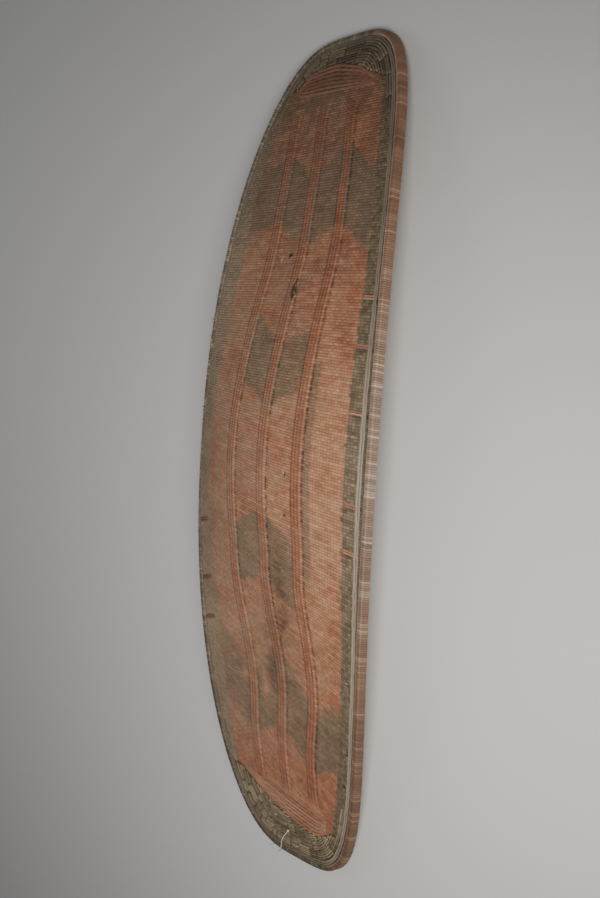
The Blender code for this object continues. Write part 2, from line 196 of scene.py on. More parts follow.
# %% Node helpers
def add_node(tree, kind, inputs=(), **settings):
    """A node with its settings, and its inputs joined to sockets or set to values."""
    node = tree.nodes.new(kind)
    for label, value in settings.items():
        setattr(node, label, value)
    for socket, value in dict(inputs).items():
        if isinstance(value, bpy.types.NodeSocket):
            tree.links.new(value, node.inputs[socket])
        else:
            node.inputs[socket].default_value = value
    return node


def calculate(tree, operation, *values, clamp=False):
    node = add_node(tree, "ShaderNodeMath", dict(enumerate(values)), operation=operation, use_clamp=clamp)
    return node.outputs[0]


def times(tree, first, *others, clamp=False):
    """The product of values."""
    for other in others:
        first = calculate(tree, "MULTIPLY", first, other, clamp=clamp)
    return first


def total(tree, *parts):
    """The sum of values, each a socket with the factor that it counts by, or a plain number."""
    result = 0.0
    for part in parts:
        result = calculate(tree, "ADD", result, part if isinstance(part, float) else times(tree, *part))
    return result


def remap(tree, value, low, high, to_low=0.0, to_high=1.0):
    """A value's place between two limits, carried over to two others, with soft ends."""
    inputs = {"Value": value, "From Min": low, "From Max": high, "To Min": to_low, "To Max": to_high}
    node = add_node(tree, "ShaderNodeMapRange", inputs, interpolation_type="SMOOTHSTEP")
    return node.outputs["Result"]


def blend(tree, share, first, second, mode="MIX"):
    """A mix of two colours: plain colours are given as red, green and blue."""
    first, second = ((*colour, 1) if isinstance(colour, tuple) else colour for colour in (first, second))
    inputs = {0: share, 6: first, 7: second}
    return add_node(tree, "ShaderNodeMix", inputs, data_type="RGBA", blend_type=mode).outputs[2]


def darken(tree, colour, shade):
    """A colour multiplied by a grey value."""
    grey = add_node(tree, "ShaderNodeCombineColor", {0: shade, 1: shade, 2: shade}).outputs[0]
    return blend(tree, 1.0, colour, grey, "MULTIPLY")


def attribute(tree, name):
    return add_node(tree, "ShaderNodeAttribute", attribute_name=name).outputs["Fac"]


def noise(tree, place, scale, detail=3.0, roughness=0.5):
    inputs = {"Vector": place, "Scale": scale, "Detail": detail, "Roughness": roughness}
    return add_node(tree, "ShaderNodeTexNoise", inputs).outputs["Fac"]


def stretch(tree, place, x, y, z):
    """Coordinates multiplied along each axis."""
    node = add_node(tree, "ShaderNodeVectorMath", {0: place, 1: (x, y, z)}, operation="MULTIPLY")
    return node.outputs[0]


def random_tone(tree, across, along):
    """One random value for each cell of a grid."""
    cell = add_node(tree, "ShaderNodeCombineXYZ", {0: across, 1: along}).outputs[0]
    node = add_node(tree, "ShaderNodeTexWhiteNoise", {"Vector": cell}, noise_dimensions="2D")
    return node.outputs["Value"]


def crest_share(tree, turns, shoulder):
    """1 along the middle of each row or turn, and 0 in the grooves, where the count is a whole number."""
    past_middle = calculate(tree, "SUBTRACT", calculate(tree, "FRACT", turns), 0.5)
    return remap(tree, calculate(tree, "ABSOLUTE", past_middle), 0.5, shoulder)


def bump(tree, height, distance, strength=1.0, under=None):
    inputs = {"Height": height, "Distance": distance, "Strength": strength}
    if under is not None:
        inputs["Normal"] = under
    return add_node(tree, "ShaderNodeBump", inputs).outputs["Normal"]

# %% Start and end of a material
def start_material(name):
    """A new material: its tree, its shader, the piece's own coordinates along its canes, and its place."""
    material = bpy.data.materials.new(name)
    material.use_nodes = True
    tree = material.node_tree
    lay = add_node(tree, "ShaderNodeUVMap", uv_map="lay").outputs["UV"]
    place = add_node(tree, "ShaderNodeTexCoord").outputs["Object"]
    return material, tree, tree.nodes["Principled BSDF"], lay, place


def finish_material(tree, shader, colour, roughness, normal):
    """Joins a finish to the shader. The roughness is a socket, or one number for the whole piece."""
    tree.links.new(colour, shader.inputs["Base Color"])
    tree.links.new(normal, shader.inputs["Normal"])
    if isinstance(roughness, float):
        shader.inputs["Roughness"].default_value = roughness
    else:
        tree.links.new(roughness, shader.inputs["Roughness"])

# %% [markdown]
# ## Effects that several finishes share
#
# Split cane shows long thin fibres, and everything on an old shield carries a little dust and dirt. Both
# effects are node groups: each is built once, and every material that uses one sets its own values on it.
# The dirt group also paints shade into the hollows that a material gives it.

# %% Node group: cane fibres
def start_group(name, inputs, outputs):
    group = bpy.data.node_groups.new(name, "ShaderNodeTree")
    for label, kind, value in inputs:
        socket = group.interface.new_socket(label, in_out="INPUT", socket_type=kind)
        socket.default_value = value
    for label, kind in outputs:
        group.interface.new_socket(label, in_out="OUTPUT", socket_type=kind)
    return group, group.nodes.new("NodeGroupInput"), group.nodes.new("NodeGroupOutput")


def build_fibres():
    """Streaks along the first coordinate, and slow changes of tone, both round a half."""
    group, given, result = start_group(
        "cane fibres",
        [("Place", "NodeSocketVector", (0, 0, 0)), ("Fineness", "NodeSocketFloat", 1.0)],
        [("Streaks", "NodeSocketFloat"), ("Tone", "NodeSocketFloat")])
    scaled = add_node(group, "ShaderNodeVectorMath",
                      {0: given.outputs["Place"], "Scale": given.outputs["Fineness"]}, operation="SCALE")
    fine = noise(group, stretch(group, scaled.outputs[0], 0.6, 9.0, 1.0), 4.0, 4.0, 0.6)
    slow = noise(group, stretch(group, scaled.outputs[0], 0.15, 0.5, 1.0), 2.0, 2.0)
    group.links.new(fine, result.inputs["Streaks"])
    group.links.new(slow, result.inputs["Tone"])
    return group


fibres = build_fibres()

# %% Node group: grime and painted shade
GRIME_AND_SHADE_TINT = (0.30, 0.25, 0.20)  # what is left of a colour under the thickest dirt and the deepest painted shade


def build_grime_and_shade():
    """A mask of patchy dirt joined with the painted shade of the hollows given to it, and a colour darkened
    and greyed by both.
    """
    group, given, result = start_group(
        "grime_and_shade",
        [("Colour", "NodeSocketColor", (1, 1, 1, 1)), ("Amount", "NodeSocketFloat", 0.3),
         ("Hollows", "NodeSocketFloat", 0.0), ("Place", "NodeSocketVector", (0, 0, 0))],
        [("Colour", "NodeSocketColor"), ("Mask", "NodeSocketFloat")])
    patches = remap(group, noise(group, given.outputs["Place"], 14.0, 6.0, 0.65), 0.42, 0.72)
    speckle = remap(group, noise(group, given.outputs["Place"], 420.0, 2.0), 0.55, 0.75)
    spread = calculate(group, "MAXIMUM", patches, times(group, speckle, 0.6))
    light = times(group, spread, given.outputs["Amount"])
    mask = calculate(group, "MAXIMUM", light, given.outputs["Hollows"], clamp=True)
    dark = blend(group, 1.0, given.outputs["Colour"], GRIME_AND_SHADE_TINT, "MULTIPLY")
    group.links.new(blend(group, mask, given.outputs["Colour"], dark), result.inputs["Colour"])
    group.links.new(mask, result.inputs["Mask"])
    return group


grime_and_shade = build_grime_and_shade()


def use_fibres(tree, place, fineness=1.0):
    """The streaks and the slow tone of cane at these coordinates."""
    inputs = {"Place": place, "Fineness": fineness}
    cane = add_node(tree, "ShaderNodeGroup", inputs, node_tree=fibres)
    return cane.outputs["Streaks"], cane.outputs["Tone"]


def use_grime_and_shade(tree, colour, place, amount, hollows=0.0):
    """A colour with dirt and the painted shade of any given hollows on it, and the mask of both."""
    inputs = {"Colour": colour, "Place": place, "Amount": amount, "Hollows": hollows}
    dirt = add_node(tree, "ShaderNodeGroup", inputs, node_tree=grime_and_shade)
    return dirt.outputs["Colour"], dirt.outputs["Mask"]

# %% [markdown]
# ## The white thread
#
# A length of white cotton hangs from a small knot near the lower end, runs over the rim, makes a loop on
# the floor and goes back into the rim's binding. It is the shield's only loose cord, and it comes first
# because its finish is the simplest. Cotton thread is two plies twisted together: the section swept along
# the route is pinched at its waist and turns as it goes, which gives the twist a true shape.

# %% Thread: route and length
THREAD_DIAMETER = 0.0016
THREAD_TWIST = 0.0042  # length of one full turn of the plies
THREAD_STEP = 0.0004
THREAD_WAIST = 0.36  # how far the section is pinched between the two plies
THREAD_SHARE = 0.98  # keeps the plies inside the solid thread
THREAD_ROUTE = (
    (-0.0099, -0.5810, 0.0290),
    (-0.0159, -0.5873, 0.0275),
    (-0.0218, -0.5936, 0.0261),
    (-0.0267, -0.5998, 0.0244),
    (-0.0306, -0.6054, 0.0224),
    (-0.0332, -0.6107, 0.0202),
    (-0.0364, -0.6164, 0.0176),
    (-0.0398, -0.6215, 0.0152),
    (-0.0447, -0.6265, 0.0104),
    (-0.0511, -0.6316, 0.0050),
    (-0.0561, -0.6351, 0.0018),
    (-0.0605, -0.6366, 0.0008),
    (-0.0681, -0.6370, 0.0008),
    (-0.0758, -0.6372, 0.0008),
    (-0.0809, -0.6366, 0.0008),
    (-0.0828, -0.6350, 0.0008),
    (-0.0804, -0.6328, 0.0008),
    (-0.0746, -0.6302, 0.0012),
    (-0.0664, -0.6263, 0.0030),
    (-0.0600, -0.6232, 0.0060),
)


def smooth_route(route, step, fine=24):
    """Evenly spaced points on a smooth curve through the route's own points."""
    knots = [np.array(point) for point in route]
    knots = [2 * knots[0] - knots[1]] + knots + [2 * knots[-1] - knots[-2]]
    dense = []
    for a, b, c, d in zip(knots, knots[1:], knots[2:], knots[3:]):
        for t in np.linspace(0, 1, fine, endpoint=False):
            dense.append(0.5 * (2 * b + (c - a) * t + (2 * a - 5 * b + 4 * c - d) * t ** 2
                                + (3 * b - a - 3 * c + d) * t ** 3))
    dense = np.array(dense + [knots[-2]])
    return even_steps(dense, step)


def even_steps(path, step, closed=False):
    """The same path with points an equal distance apart."""
    path = np.vstack([path, path[:1]]) if closed else path
    travelled = np.concatenate([[0.0], np.cumsum(np.linalg.norm(np.diff(path, axis=0), axis=1))])
    count = max(2, round(travelled[-1] / step))
    places = np.linspace(0, travelled[-1], count + 1)
    evened = np.stack([np.interp(places, travelled, values) for values in path.T], axis=1)
    return evened[:-1] if closed else evened


# %% Thread: material
COTTON_SHADE = (0.70, 0.66, 0.58)
COTTON_WHITE = (0.86, 0.84, 0.78)


def build_cotton():
    material, tree, shader, lay, place = start_material("white cotton")
    hairs = use_fibres(tree, stretch(tree, lay, 900.0, 3.0, 1.0))[0]
    colour = blend(tree, remap(tree, hairs, 0.3, 0.7), COTTON_SHADE, COTTON_WHITE)
    colour = use_grime_and_shade(tree, colour, place, 0.35)[0]
    finish_material(tree, shader, colour, 0.9, bump(tree, hairs, 0.00015))
    return material


white_cotton = build_cotton()

# %% Thread: mesh
THREAD_SIDES = 12


def make_thread():
    route = smooth_route(THREAD_ROUTE, THREAD_STEP)
    turned = 2 * math.pi * np.arange(len(route)) * THREAD_STEP / THREAD_TWIST
    around = 2 * math.pi * (np.arange(THREAD_SIDES) + 0.5) / THREAD_SIDES
    plies = 1 - THREAD_WAIST * np.sin(around[None, :] - turned[:, None]) ** 2
    bundle = Bundle()
    bundle.add(route, (0, 0, 1), THREAD_DIAMETER, THREAD_DIAMETER, sides=THREAD_SIDES,
               scale=plies * THREAD_SHARE)
    thread = bundle.finish("cotton_thread", white_cotton)
    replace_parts(thread, "thread_tie")
    return thread, route


thread, thread_path = make_thread()

# %% Thread: the knot that it comes out of
KNOT_SIZE = 0.0011 / 2.4  # the trefoil's formula reaches almost 3 each way, and is made this much smaller
KNOT_OFFSET = (0.0009, 0.0009, 0.0002)  # from the thread's first point to the knot's middle
KNOT_THREAD = THREAD_DIAMETER * 0.9  # the thread is pulled thin in the knot


def make_knot():
    """Three interlocked turns, as a trefoil, pulled small."""
    turn = np.linspace(0, 2 * math.pi, 60, endpoint=False)
    loops = np.stack([np.sin(turn) + 2 * np.sin(2 * turn), np.cos(turn) - 2 * np.cos(2 * turn),
                      -0.8 * np.sin(3 * turn)], axis=1)
    middle = np.array(THREAD_ROUTE[0]) + KNOT_OFFSET
    bundle = Bundle()
    bundle.add(middle + loops * KNOT_SIZE, (0.1, 0.2, 1), KNOT_THREAD, KNOT_THREAD, sides=8, closed=True)
    return bundle.finish("cotton_knot", white_cotton)


knot = make_knot()

# %% [markdown]
# ## The form of the shield
#
# Everything else lies on one curved form: the outline is a long oval with blunt ends, the rim bows down
# towards the ends, and the middle of the panel swells above the rim. These formulas are the ones that the
# solid model is built from, so the fine weave lies exactly where the solid panel does. The sizes come
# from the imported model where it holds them.

# %% Form: sizes
rim_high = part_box("rim_hoop")[1]
HALF_LENGTH = rim_high.y
HALF_WIDTH = rim_high.x
END_POWER = 2.15  # how soon the sides start to draw in towards the ends
CORNER_POWER = 3.6  # how square the ends are
BOW = 0.092  # how far the rim's ends lie below its middle
BOW_POWER = 2.2
RIB_HEIGHT = 0.002
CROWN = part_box("woven_panel")[1].z - RIM_PLANE - RIB_HEIGHT  # rise of the panel above the rim at mid length
CROWN_AT_ENDS = 0.001
CROWN_REACH = 0.323  # distance from the middle at which the bulge has died out
CROWN_POWER = 2.55  # flat over the middle, falling off at the sides
PANEL_THICKNESS = 0.007
RIM_WIDTH = 0.010
RIM_DEPTH = 0.016
print("half length, half width, crown:", round(HALF_LENGTH, 4), round(HALF_WIDTH, 4), round(CROWN, 4))

# %% Form: heights
NARROWEST = 0.02  # the least half width that the bulge is spread over, at the very tips
TIP_SHARE = 0.9999  # keeps the outline's formula off its last point


def smooth_step(value):
    value = np.clip(value, 0.0, 1.0)
    return value * value * (3 - 2 * value)


def ramp(value, start, over):
    """0 up to start, then rising softly to 1, which it reaches at start plus over."""
    return smooth_step((value - start) / over)


def half_width(y):
    reach = np.minimum(np.abs(y) / HALF_LENGTH, TIP_SHARE)
    return HALF_WIDTH * (1 - reach ** END_POWER) ** (1 / CORNER_POWER)


def edge_height(y):
    return RIM_PLANE - BOW * (np.abs(y) / HALF_LENGTH) ** BOW_POWER


def crown_rise(y):
    bell = np.cos(math.pi / 2 * np.minimum(np.abs(y) / CROWN_REACH, 1.0)) ** 2
    return CROWN_AT_ENDS + (CROWN - CROWN_AT_ENDS) * bell


def front_height(x, y):
    """Height of the smooth front face."""
    share = np.minimum(np.abs(x) / np.maximum(half_width(y), NARROWEST), 1.0)
    return edge_height(y) + crown_rise(y) * (1 - share ** CROWN_POWER)


def front_normal(x, y, reach=0.001):
    """The direction that the front face looks, at places across and along it."""
    rise_x = (front_height(x + reach, y) - front_height(x - reach, y)) / (2 * reach)
    rise_y = (front_height(x, y + reach) - front_height(x, y - reach)) / (2 * reach)
    return unit(np.stack([-rise_x, -rise_y, np.ones_like(rise_x)], axis=-1))


def lay_on_front(places, lift):
    """Points of the front face under places across and along it, raised by a lift."""
    x, y = places.T
    return np.column_stack([x, y, front_height(x, y)]) + front_normal(x, y) * np.reshape(lift, (-1, 1))


def add_on_front(bundle, places, lift, width, thickness, **looks):
    """One cane laid along places on the front face."""
    path = lay_on_front(places, lift)
    bundle.add(path, front_normal(path[:, 0], path[:, 1]), width, thickness, **looks)

# %% Form: the outline and the curves inside it
class Outline:
    """The shield's outline as a closed curve of even steps, with its outward normals."""

    def __init__(self, steps=1500, step=0.0005):
        angle = math.pi / 2 * (1 - (1 - np.linspace(0, 1, steps)) ** 2)
        x = HALF_WIDTH * np.abs(np.cos(angle)) ** (2 / CORNER_POWER)
        y = HALF_LENGTH * np.sin(angle) ** (2 / END_POWER)
        x[-1] = 0.0
        quarter = np.stack([x, y], axis=1)
        upper = np.concatenate([quarter, quarter[::-1][1:] * (-1, 1)])
        self.points = even_steps(np.concatenate([upper, upper[::-1][1:-1] * (1, -1)]), step, closed=True)
        ahead = directions(self.points, closed=True)
        self.normals = np.stack([ahead[:, 1], -ahead[:, 0]], axis=1)
        self.upper_right = (self.points >= 0).all(axis=1)  # the points of one quarter
        self.step = float(np.linalg.norm(self.points[1] - self.points[0]))
        self.length = self.step * len(self.points)

    def inside(self, inset):
        return self.points - self.normals * inset

    def at(self, travelled):
        """Points and normals at distances along the outline, measured from the middle of the right side."""
        place = np.mod(travelled, self.length)
        grid = np.arange(len(self.points) + 1) * self.step
        found = []
        for table in (self.points, self.normals):
            closed = np.vstack([table, table[:1]])
            found.append(np.stack([np.interp(place, grid, closed[:, axis]) for axis in (0, 1)], axis=-1))
        return found


outline = Outline()
print("the rim runs", round(outline.length, 3), "m round the shield")

# %% [markdown]
# ## The ribs, and where the warps run
#
# Three raised ribs run down the front, not quite straight, as hand work leaves them. The warps, the rods
# that run lengthwise through the weave, are spread evenly between the sides and the ribs, so they drift
# with them.

# %% Ribs
RIB_SPACING = 0.0755
RIB_DRAW_IN = 0.022  # how much closer the outer ribs stand at the very ends
RIB_OFFSET = 0.0015  # the ribs stand a little to the right of the middle
RIB_WIDTH = 0.020
RIB_END = 0.100  # the ribs stop this far from the shield's ends
RIB_FADE = 0.03
# Drift of the ribs: place and reach as shares of the half length, and amount
RIB_DRIFTS = ((0.85, 0.21, -0.014), (0.50, 0.22, 0.0065), (-0.31, 0.12, -0.005), (-0.55, 0.19, 0.0125))


def rib_place(side, y):
    """Where a rib's middle lies across the shield: side is -1, 0 or 1."""
    share = y / HALF_LENGTH
    drift = sum(amount * smooth_step(1 - np.abs(share - place) / reach)
                for place, reach, amount in RIB_DRIFTS)
    return RIB_OFFSET + drift + side * (RIB_SPACING - RIB_DRAW_IN * share ** 2)

# %% How far the weave reaches
WEAVE_INSET = 0.0075  # the weave's edge runs this far inside the outline, under the rim's binding


def quarter_inside(inset):
    """The upper right quarter of a curve inside the outline, from the side to the end, and its corner."""
    quarter = outline.inside(inset)[outline.upper_right]
    normals = outline.normals[outline.upper_right]
    order = np.argsort(quarter[:, 1] - quarter[:, 0])
    quarter, normals = quarter[order], normals[order]
    corner = int(np.argmin(np.abs(normals[:, 0] - normals[:, 1])))
    return quarter, corner


weave_quarter, weave_corner = quarter_inside(WEAVE_INSET)


def side_reach(y):
    """Half the width of the weave at a place along the shield. Past the corners it stays as it is there."""
    along = weave_quarter[:weave_corner + 1]
    return np.interp(np.abs(y), along[:, 1], along[:, 0])


def end_reach(x):
    """How far from the middle the weave ends, at a place across the shield."""
    across = weave_quarter[weave_corner:][::-1]
    return np.interp(np.abs(x), across[:, 0], across[:, 1])

# %% Warps
FIELD_STEP = 2  # mesh columns to a warp in the field
RIB_STEP = 6  # mesh columns to each of a rib's cords, which need a rounder shape
# Warps from the left edge to the right one: the spans of the field, with each rib's cords between them
SPAN_WARPS = (21, 3, 12, 3, 12, 3, 20)


def span_lines(y):
    """The lines that part the spans: left edge, both sides of each rib, right edge."""
    lines = [-side_reach(y)]
    for side in (-1, 0, 1):
        lines += [rib_place(side, y) - RIB_WIDTH / 2, rib_place(side, y) + RIB_WIDTH / 2]
    return np.stack(lines + [side_reach(y)])


def lay_out_columns():
    """For each mesh column: its span, its share across that span, and its place counted in warps."""
    columns = []
    warp = 0
    for span, warps in enumerate(SPAN_WARPS):
        steps = RIB_STEP if span % 2 else FIELD_STEP
        columns += [(span, step / (warps * steps), warp + step / steps) for step in range(warps * steps)]
        warp += warps
    columns.append((len(SPAN_WARPS) - 1, 1.0, float(warp)))
    return [np.array(values) for values in zip(*columns)]


column_span, column_share, column_warp = lay_out_columns()
column_count = len(column_span)


def column_x(y):
    """How far across each column lies, for a grid of places along the shield (rows by columns)."""
    lines = span_lines(y)
    every = np.arange(column_count)
    left = lines[column_span, :, every].T
    right = lines[column_span + 1, :, every].T
    return left + (right - left) * column_share


print("warps:", sum(SPAN_WARPS), "mesh columns:", column_count)

# %% [markdown]
# ## The rows of weft
#
# Rows of thin weft run across the warps. On the real shield they aren't level: each slopes down to the
# right, and the slope grows towards the lower end. A row is found where its sloping line crosses each
# warp, and three mesh rows go to each row of weft: one in the groove and two on its crest.

# %% Rows
ROW_PITCH = 0.0039
ROW_STEP = 3  # mesh rows to a row of weft
ROWS_FROM, ROWS_TO = -0.722, 0.642  # where the first and the last row cross the shield's middle line
SLOPE_TERMS = (-0.14, 0.32, -0.21)  # a row's slope, by powers of its place along the shield
SETTLE_ROUNDS = 14  # rounds in which a sloping row settles on the warps that it crosses
END_ROUNDS = 40  # and in which the last rows settle on the shield's blunt ends


def row_slope(y):
    share = y / HALF_LENGTH
    return sum(term * share ** power for power, term in enumerate(SLOPE_TERMS))


def lay_out_rows():
    """Where every mesh row crosses every column, cut off at the ends of the weave."""
    count = round((ROWS_TO - ROWS_FROM) / ROW_PITCH) * ROW_STEP
    start = (ROWS_FROM + np.arange(count + 1) * ROW_PITCH / ROW_STEP)[:, None]
    slope = row_slope(np.clip(start, -HALF_LENGTH, HALF_LENGTH))
    y = np.repeat(start, column_count, axis=1)
    for _round in range(SETTLE_ROUNDS):
        y = 0.5 * y + 0.5 * (start + slope * column_x(y))
    top = np.full((1, column_count), HALF_LENGTH)
    low = -top
    for _round in range(END_ROUNDS):
        top = 0.5 * top + 0.5 * end_reach(column_x(top))
        low = 0.5 * low - 0.5 * end_reach(column_x(low))
    return np.clip(y, low, top), y > top, y < low


weft_y, past_top, past_low = lay_out_rows()
weft_x = column_x(weft_y)
mesh_rows = len(weft_y)
weft_row = np.arange(mesh_rows) / ROW_STEP
print("rows of weft:", (mesh_rows - 1) // ROW_STEP, "mesh rows:", mesh_rows)

# %% [markdown]
# ## The dyed pattern
#
# The weft is dyed. On the red field stand two olive zigzag bands, one near each end, and two chevrons
# between the outer ribs. Every band turns at the ribs, so one coordinate is enough: it counts the borders
# and the ribs from left to right, and each edge of a band is a height at each of those five lines. A
# weaver changes strands at a crossing, so every row starts and stops a little before or after its
# neighbours.

# %% Pattern: random values for strands
BLOCK_WARPS = 3  # warps over which one strand keeps its own tone
ROW_SHIFT = 0.618  # how much further on each row's strands change than those of the row before, in blocks
PATCHES = 64  # soft noise repeats after this many patches each way
row_number = np.floor(weft_row + 1e-6).astype(int)
block_number = np.floor(column_warp / BLOCK_WARPS + (ROW_SHIFT * row_number[:, None]) % 1).astype(int)


def strand_noise(seed, blocks=True):
    """One random value from -1 to 1 for each row of weft, or for each block of warps in each row."""
    values = np.random.default_rng(seed).uniform(-1, 1, (row_number[-1] + 1, block_number.max() + 1))
    if blocks:
        return values[row_number[:, None], block_number]
    return np.repeat(values[row_number, :1], column_count, axis=1)


def soft_noise(size, seed):
    """Smooth random values from -1 to 1 over the shield, in patches of about this size."""
    values = np.random.default_rng(seed).uniform(-1, 1, (PATCHES, PATCHES))
    across, along = weft_x / size + 100, weft_y / size + 100
    column, row = np.floor(across).astype(int), np.floor(along).astype(int)
    s, t = smooth_step(across - column), smooth_step(along - row)
    left, right, near, far = (place % PATCHES for place in (column, column + 1, row, row + 1))
    first = values[near, left] * (1 - s) + values[near, right] * s
    second = values[far, left] * (1 - s) + values[far, right] * s
    return first * (1 - t) + second * t

# %% Pattern: distance to the outline
def measure_edges():
    """For every crossing, the distance to the outline."""
    near = outline.points[outline.upper_right][::4]
    distance = np.empty_like(weft_x)
    for row in range(mesh_rows):
        across, along = (np.abs(grid[row])[:, None] for grid in (weft_x, weft_y))
        distance[row] = np.hypot(across - near[:, 0], along - near[:, 1]).min(axis=1)
    return distance


edge_distance = measure_edges()

# %% Pattern: the line coordinate
LINES = (-2, -1, 0, 1, 2)  # the left border's edge, the three ribs, the right border's edge
BORDER_LEFT = 0.038
BORDER_RIGHT = 0.027
BORDER_DRAW_IN = 0.014  # how much narrower the left border gets towards the corners
DRAW_IN_FROM, DRAW_IN_OVER = 0.30, 0.22
GAP = 0.0003  # between the rim and the field
# How far inside the field's end the last red strand starts and stops, to run straight across
RED_CHORD = 0.010
CORNER_HEIGHT = 0.56  # past this the lines go on as they are here
# Heights at which the field ends at the five lines, at the upper and at the lower end
FIELD_ENDS = ((0.552, 0.577, 0.581, 0.566, 0.540), (-0.500, -0.532, -0.556, -0.566, -0.548))


def left_border(y):
    return BORDER_LEFT - BORDER_DRAW_IN * ramp(np.abs(y), DRAW_IN_FROM, DRAW_IN_OVER)


def line_coordinate(x, y):
    """-2 at the left border, -1, 0 and 1 at the ribs, 2 at the right border, even in between."""
    field = half_width(np.minimum(np.abs(y), CORNER_HEIGHT)) - RIM_WIDTH - GAP
    ribs = [rib_place(side, y) for side in (-1, 0, 1)]
    lines = [left_border(y) - field, *ribs, field - BORDER_RIGHT]
    found = np.full_like(x, -2.0)
    for left, right in zip(lines, lines[1:]):
        found += np.clip((x - left) / (right - left), 0, 1)
    return found


def past_field_end(x, y, straight=False):
    """How far a place lies beyond the field's upper or lower end. It is negative inside the field.

    Straight takes the chord that the innermost red strand follows, not the end's own curve."""
    line = line_coordinate(x, y)
    upper, lower = (np.interp(line, LINES, heights) for heights in FIELD_ENDS)
    if straight:
        upper, lower = (np.interp(line, (-2, 2), (heights[0], heights[-1])) - inward
                        for heights, inward in zip(FIELD_ENDS, (RED_CHORD, -RED_CHORD)))
    return np.maximum(y - upper, lower - y)


def past_field_side(x, y):
    """How far a place lies beyond the field's left or right side."""
    depth = np.where(x < 0, left_border(y), BORDER_RIGHT) + RIM_WIDTH + GAP
    return depth - half_width(y) + np.abs(x)


line_at = line_coordinate(weft_x, weft_y)
past_end = past_field_end(weft_x, weft_y)

# %% Pattern: borders, and the fan of red strands at each end
BORDER_JITTER = 0.0016  # how far a row's dye overruns the border's edge or stops short of it
BORDER_SOFTNESS = 0.0025
END_SOFTNESS = 0.006
FAN_SOFTNESS = 0.004
FAN_SIDE = 1.75  # the line coordinate at which the fan ends at each side
FAN_FADE = 0.5


def border_share():
    """1 in the dark border, 0 in the field."""
    past_border = np.maximum(past_end, past_field_side(weft_x, weft_y))
    past_border = past_border + BORDER_JITTER * strand_noise(11, blocks=False)
    return smooth_step(past_border / BORDER_SOFTNESS + 0.5)


def fan_share():
    """1 in the fan that the coarse red strands cover, between the field's end and a straight chord."""
    past_chord = past_field_end(weft_x, weft_y, straight=True)
    fan = smooth_step(past_chord / FAN_SOFTNESS) * smooth_step(0.5 - past_end / FAN_SOFTNESS)
    return fan * smooth_step((FAN_SIDE - np.abs(line_at)) / FAN_FADE)


border = border_share()
fan = fan_share()
end_share = smooth_step(past_end / END_SOFTNESS + 0.5)  # 1 in the border at the two ends, 0 along the sides
print("the border covers", f"{float((border > 0.5).mean()):.0%}", "of the mesh points")

# %% Pattern: olive bands
# Heights of each band's upper and lower edge at the five lines, how fuzzy each edge is, and whether it
# crosses the whole field or stays between the outer ribs
OLIVE_BANDS = (
    ((0.427, 0.447, 0.406, 0.449, 0.401), 0.010,
     (0.319, 0.345, 0.292, 0.333, 0.285), 0.012, True),
    ((0.215, 0.215, 0.155, 0.185, 0.185), 0.006,
     (0.110, 0.110, 0.064, 0.099, 0.099), 0.008, False),
    ((-0.108, -0.108, -0.080, -0.133, -0.133), 0.006,
     (-0.202, -0.202, -0.179, -0.236, -0.236), 0.006, False),
    ((-0.258, -0.340, -0.284, -0.360, -0.354), 0.018,
     (-0.395, -0.437, -0.402, -0.467, -0.443), 0.005, True),
)
ROW_JITTER = 0.0012  # how unevenly a band's edge ends from row to row
STRAND_JITTER = 0.0048  # and from strand to strand
BAND_SIDE = 0.04  # how soon a band that stays between the outer ribs ends there
FADED_LEFT = 0.8  # how much of the olive is left beyond the left rib, where it has worn pale
OLIVE_PATCHES = 0.22  # how unevenly the olive dye has held


def olive_share():
    """How much olive dye each crossing holds."""
    jitter = ROW_JITTER * strand_noise(21, blocks=False) + STRAND_JITTER * strand_noise(22)
    found = np.zeros_like(weft_x)
    for upper, upper_fuzz, lower, lower_fuzz, whole in OLIVE_BANDS:
        below_upper = np.interp(line_at, LINES, upper) + jitter - weft_y
        above_lower = weft_y - np.interp(line_at, LINES, lower) + jitter
        band = smooth_step(below_upper / upper_fuzz + 0.5) * smooth_step(above_lower / lower_fuzz + 0.5)
        if not whole:
            band = band * smooth_step((1 - np.abs(line_at)) / BAND_SIDE)
        found = np.maximum(found, band)
    found = found * np.where(line_at < -1, FADED_LEFT + (1 - FADED_LEFT) * smooth_step(line_at + 2), 1.0)
    return found * (1 - OLIVE_PATCHES * (0.5 + 0.5 * soft_noise(0.013, 23)))

# %% Pattern: the rib coordinate
def rib_coordinate():
    """-1 to 1 across the nearest rib, more than that outside it, and which rib that is."""
    across = np.stack([(weft_x - rib_place(side, weft_y)) / (RIB_WIDTH / 2) for side in (-1, 0, 1)])
    closest = np.argmin(np.abs(across), axis=0)
    return np.take_along_axis(across, closest[None], axis=0)[0], closest


rib_across, rib_number = rib_coordinate()
rib_fade = smooth_step((HALF_LENGTH - RIB_END - np.abs(weft_y)) / RIB_FADE)

# %% Pattern: the red of the ribs
RED_SHARE = 0.86  # share of a rib's width that is dyed red
RED_FRAY = 0.10  # how unevenly the red ends from strand to strand
RED_SOFTNESS = 0.12
RED_NARROWING = 0.3  # how much narrower the red gets towards the upper end
NARROWING_FROM, NARROWING_OVER = 0.22, 0.28


def rib_share():
    """1 on the red ribs, 0 beside them and past their ends."""
    dyed = RED_SHARE - RED_NARROWING * ramp(weft_y, NARROWING_FROM, NARROWING_OVER)
    dyed = dyed + RED_FRAY * strand_noise(39)
    return smooth_step((dyed - np.abs(rib_across)) / RED_SOFTNESS + 0.5) * rib_fade


rib_red = rib_share()
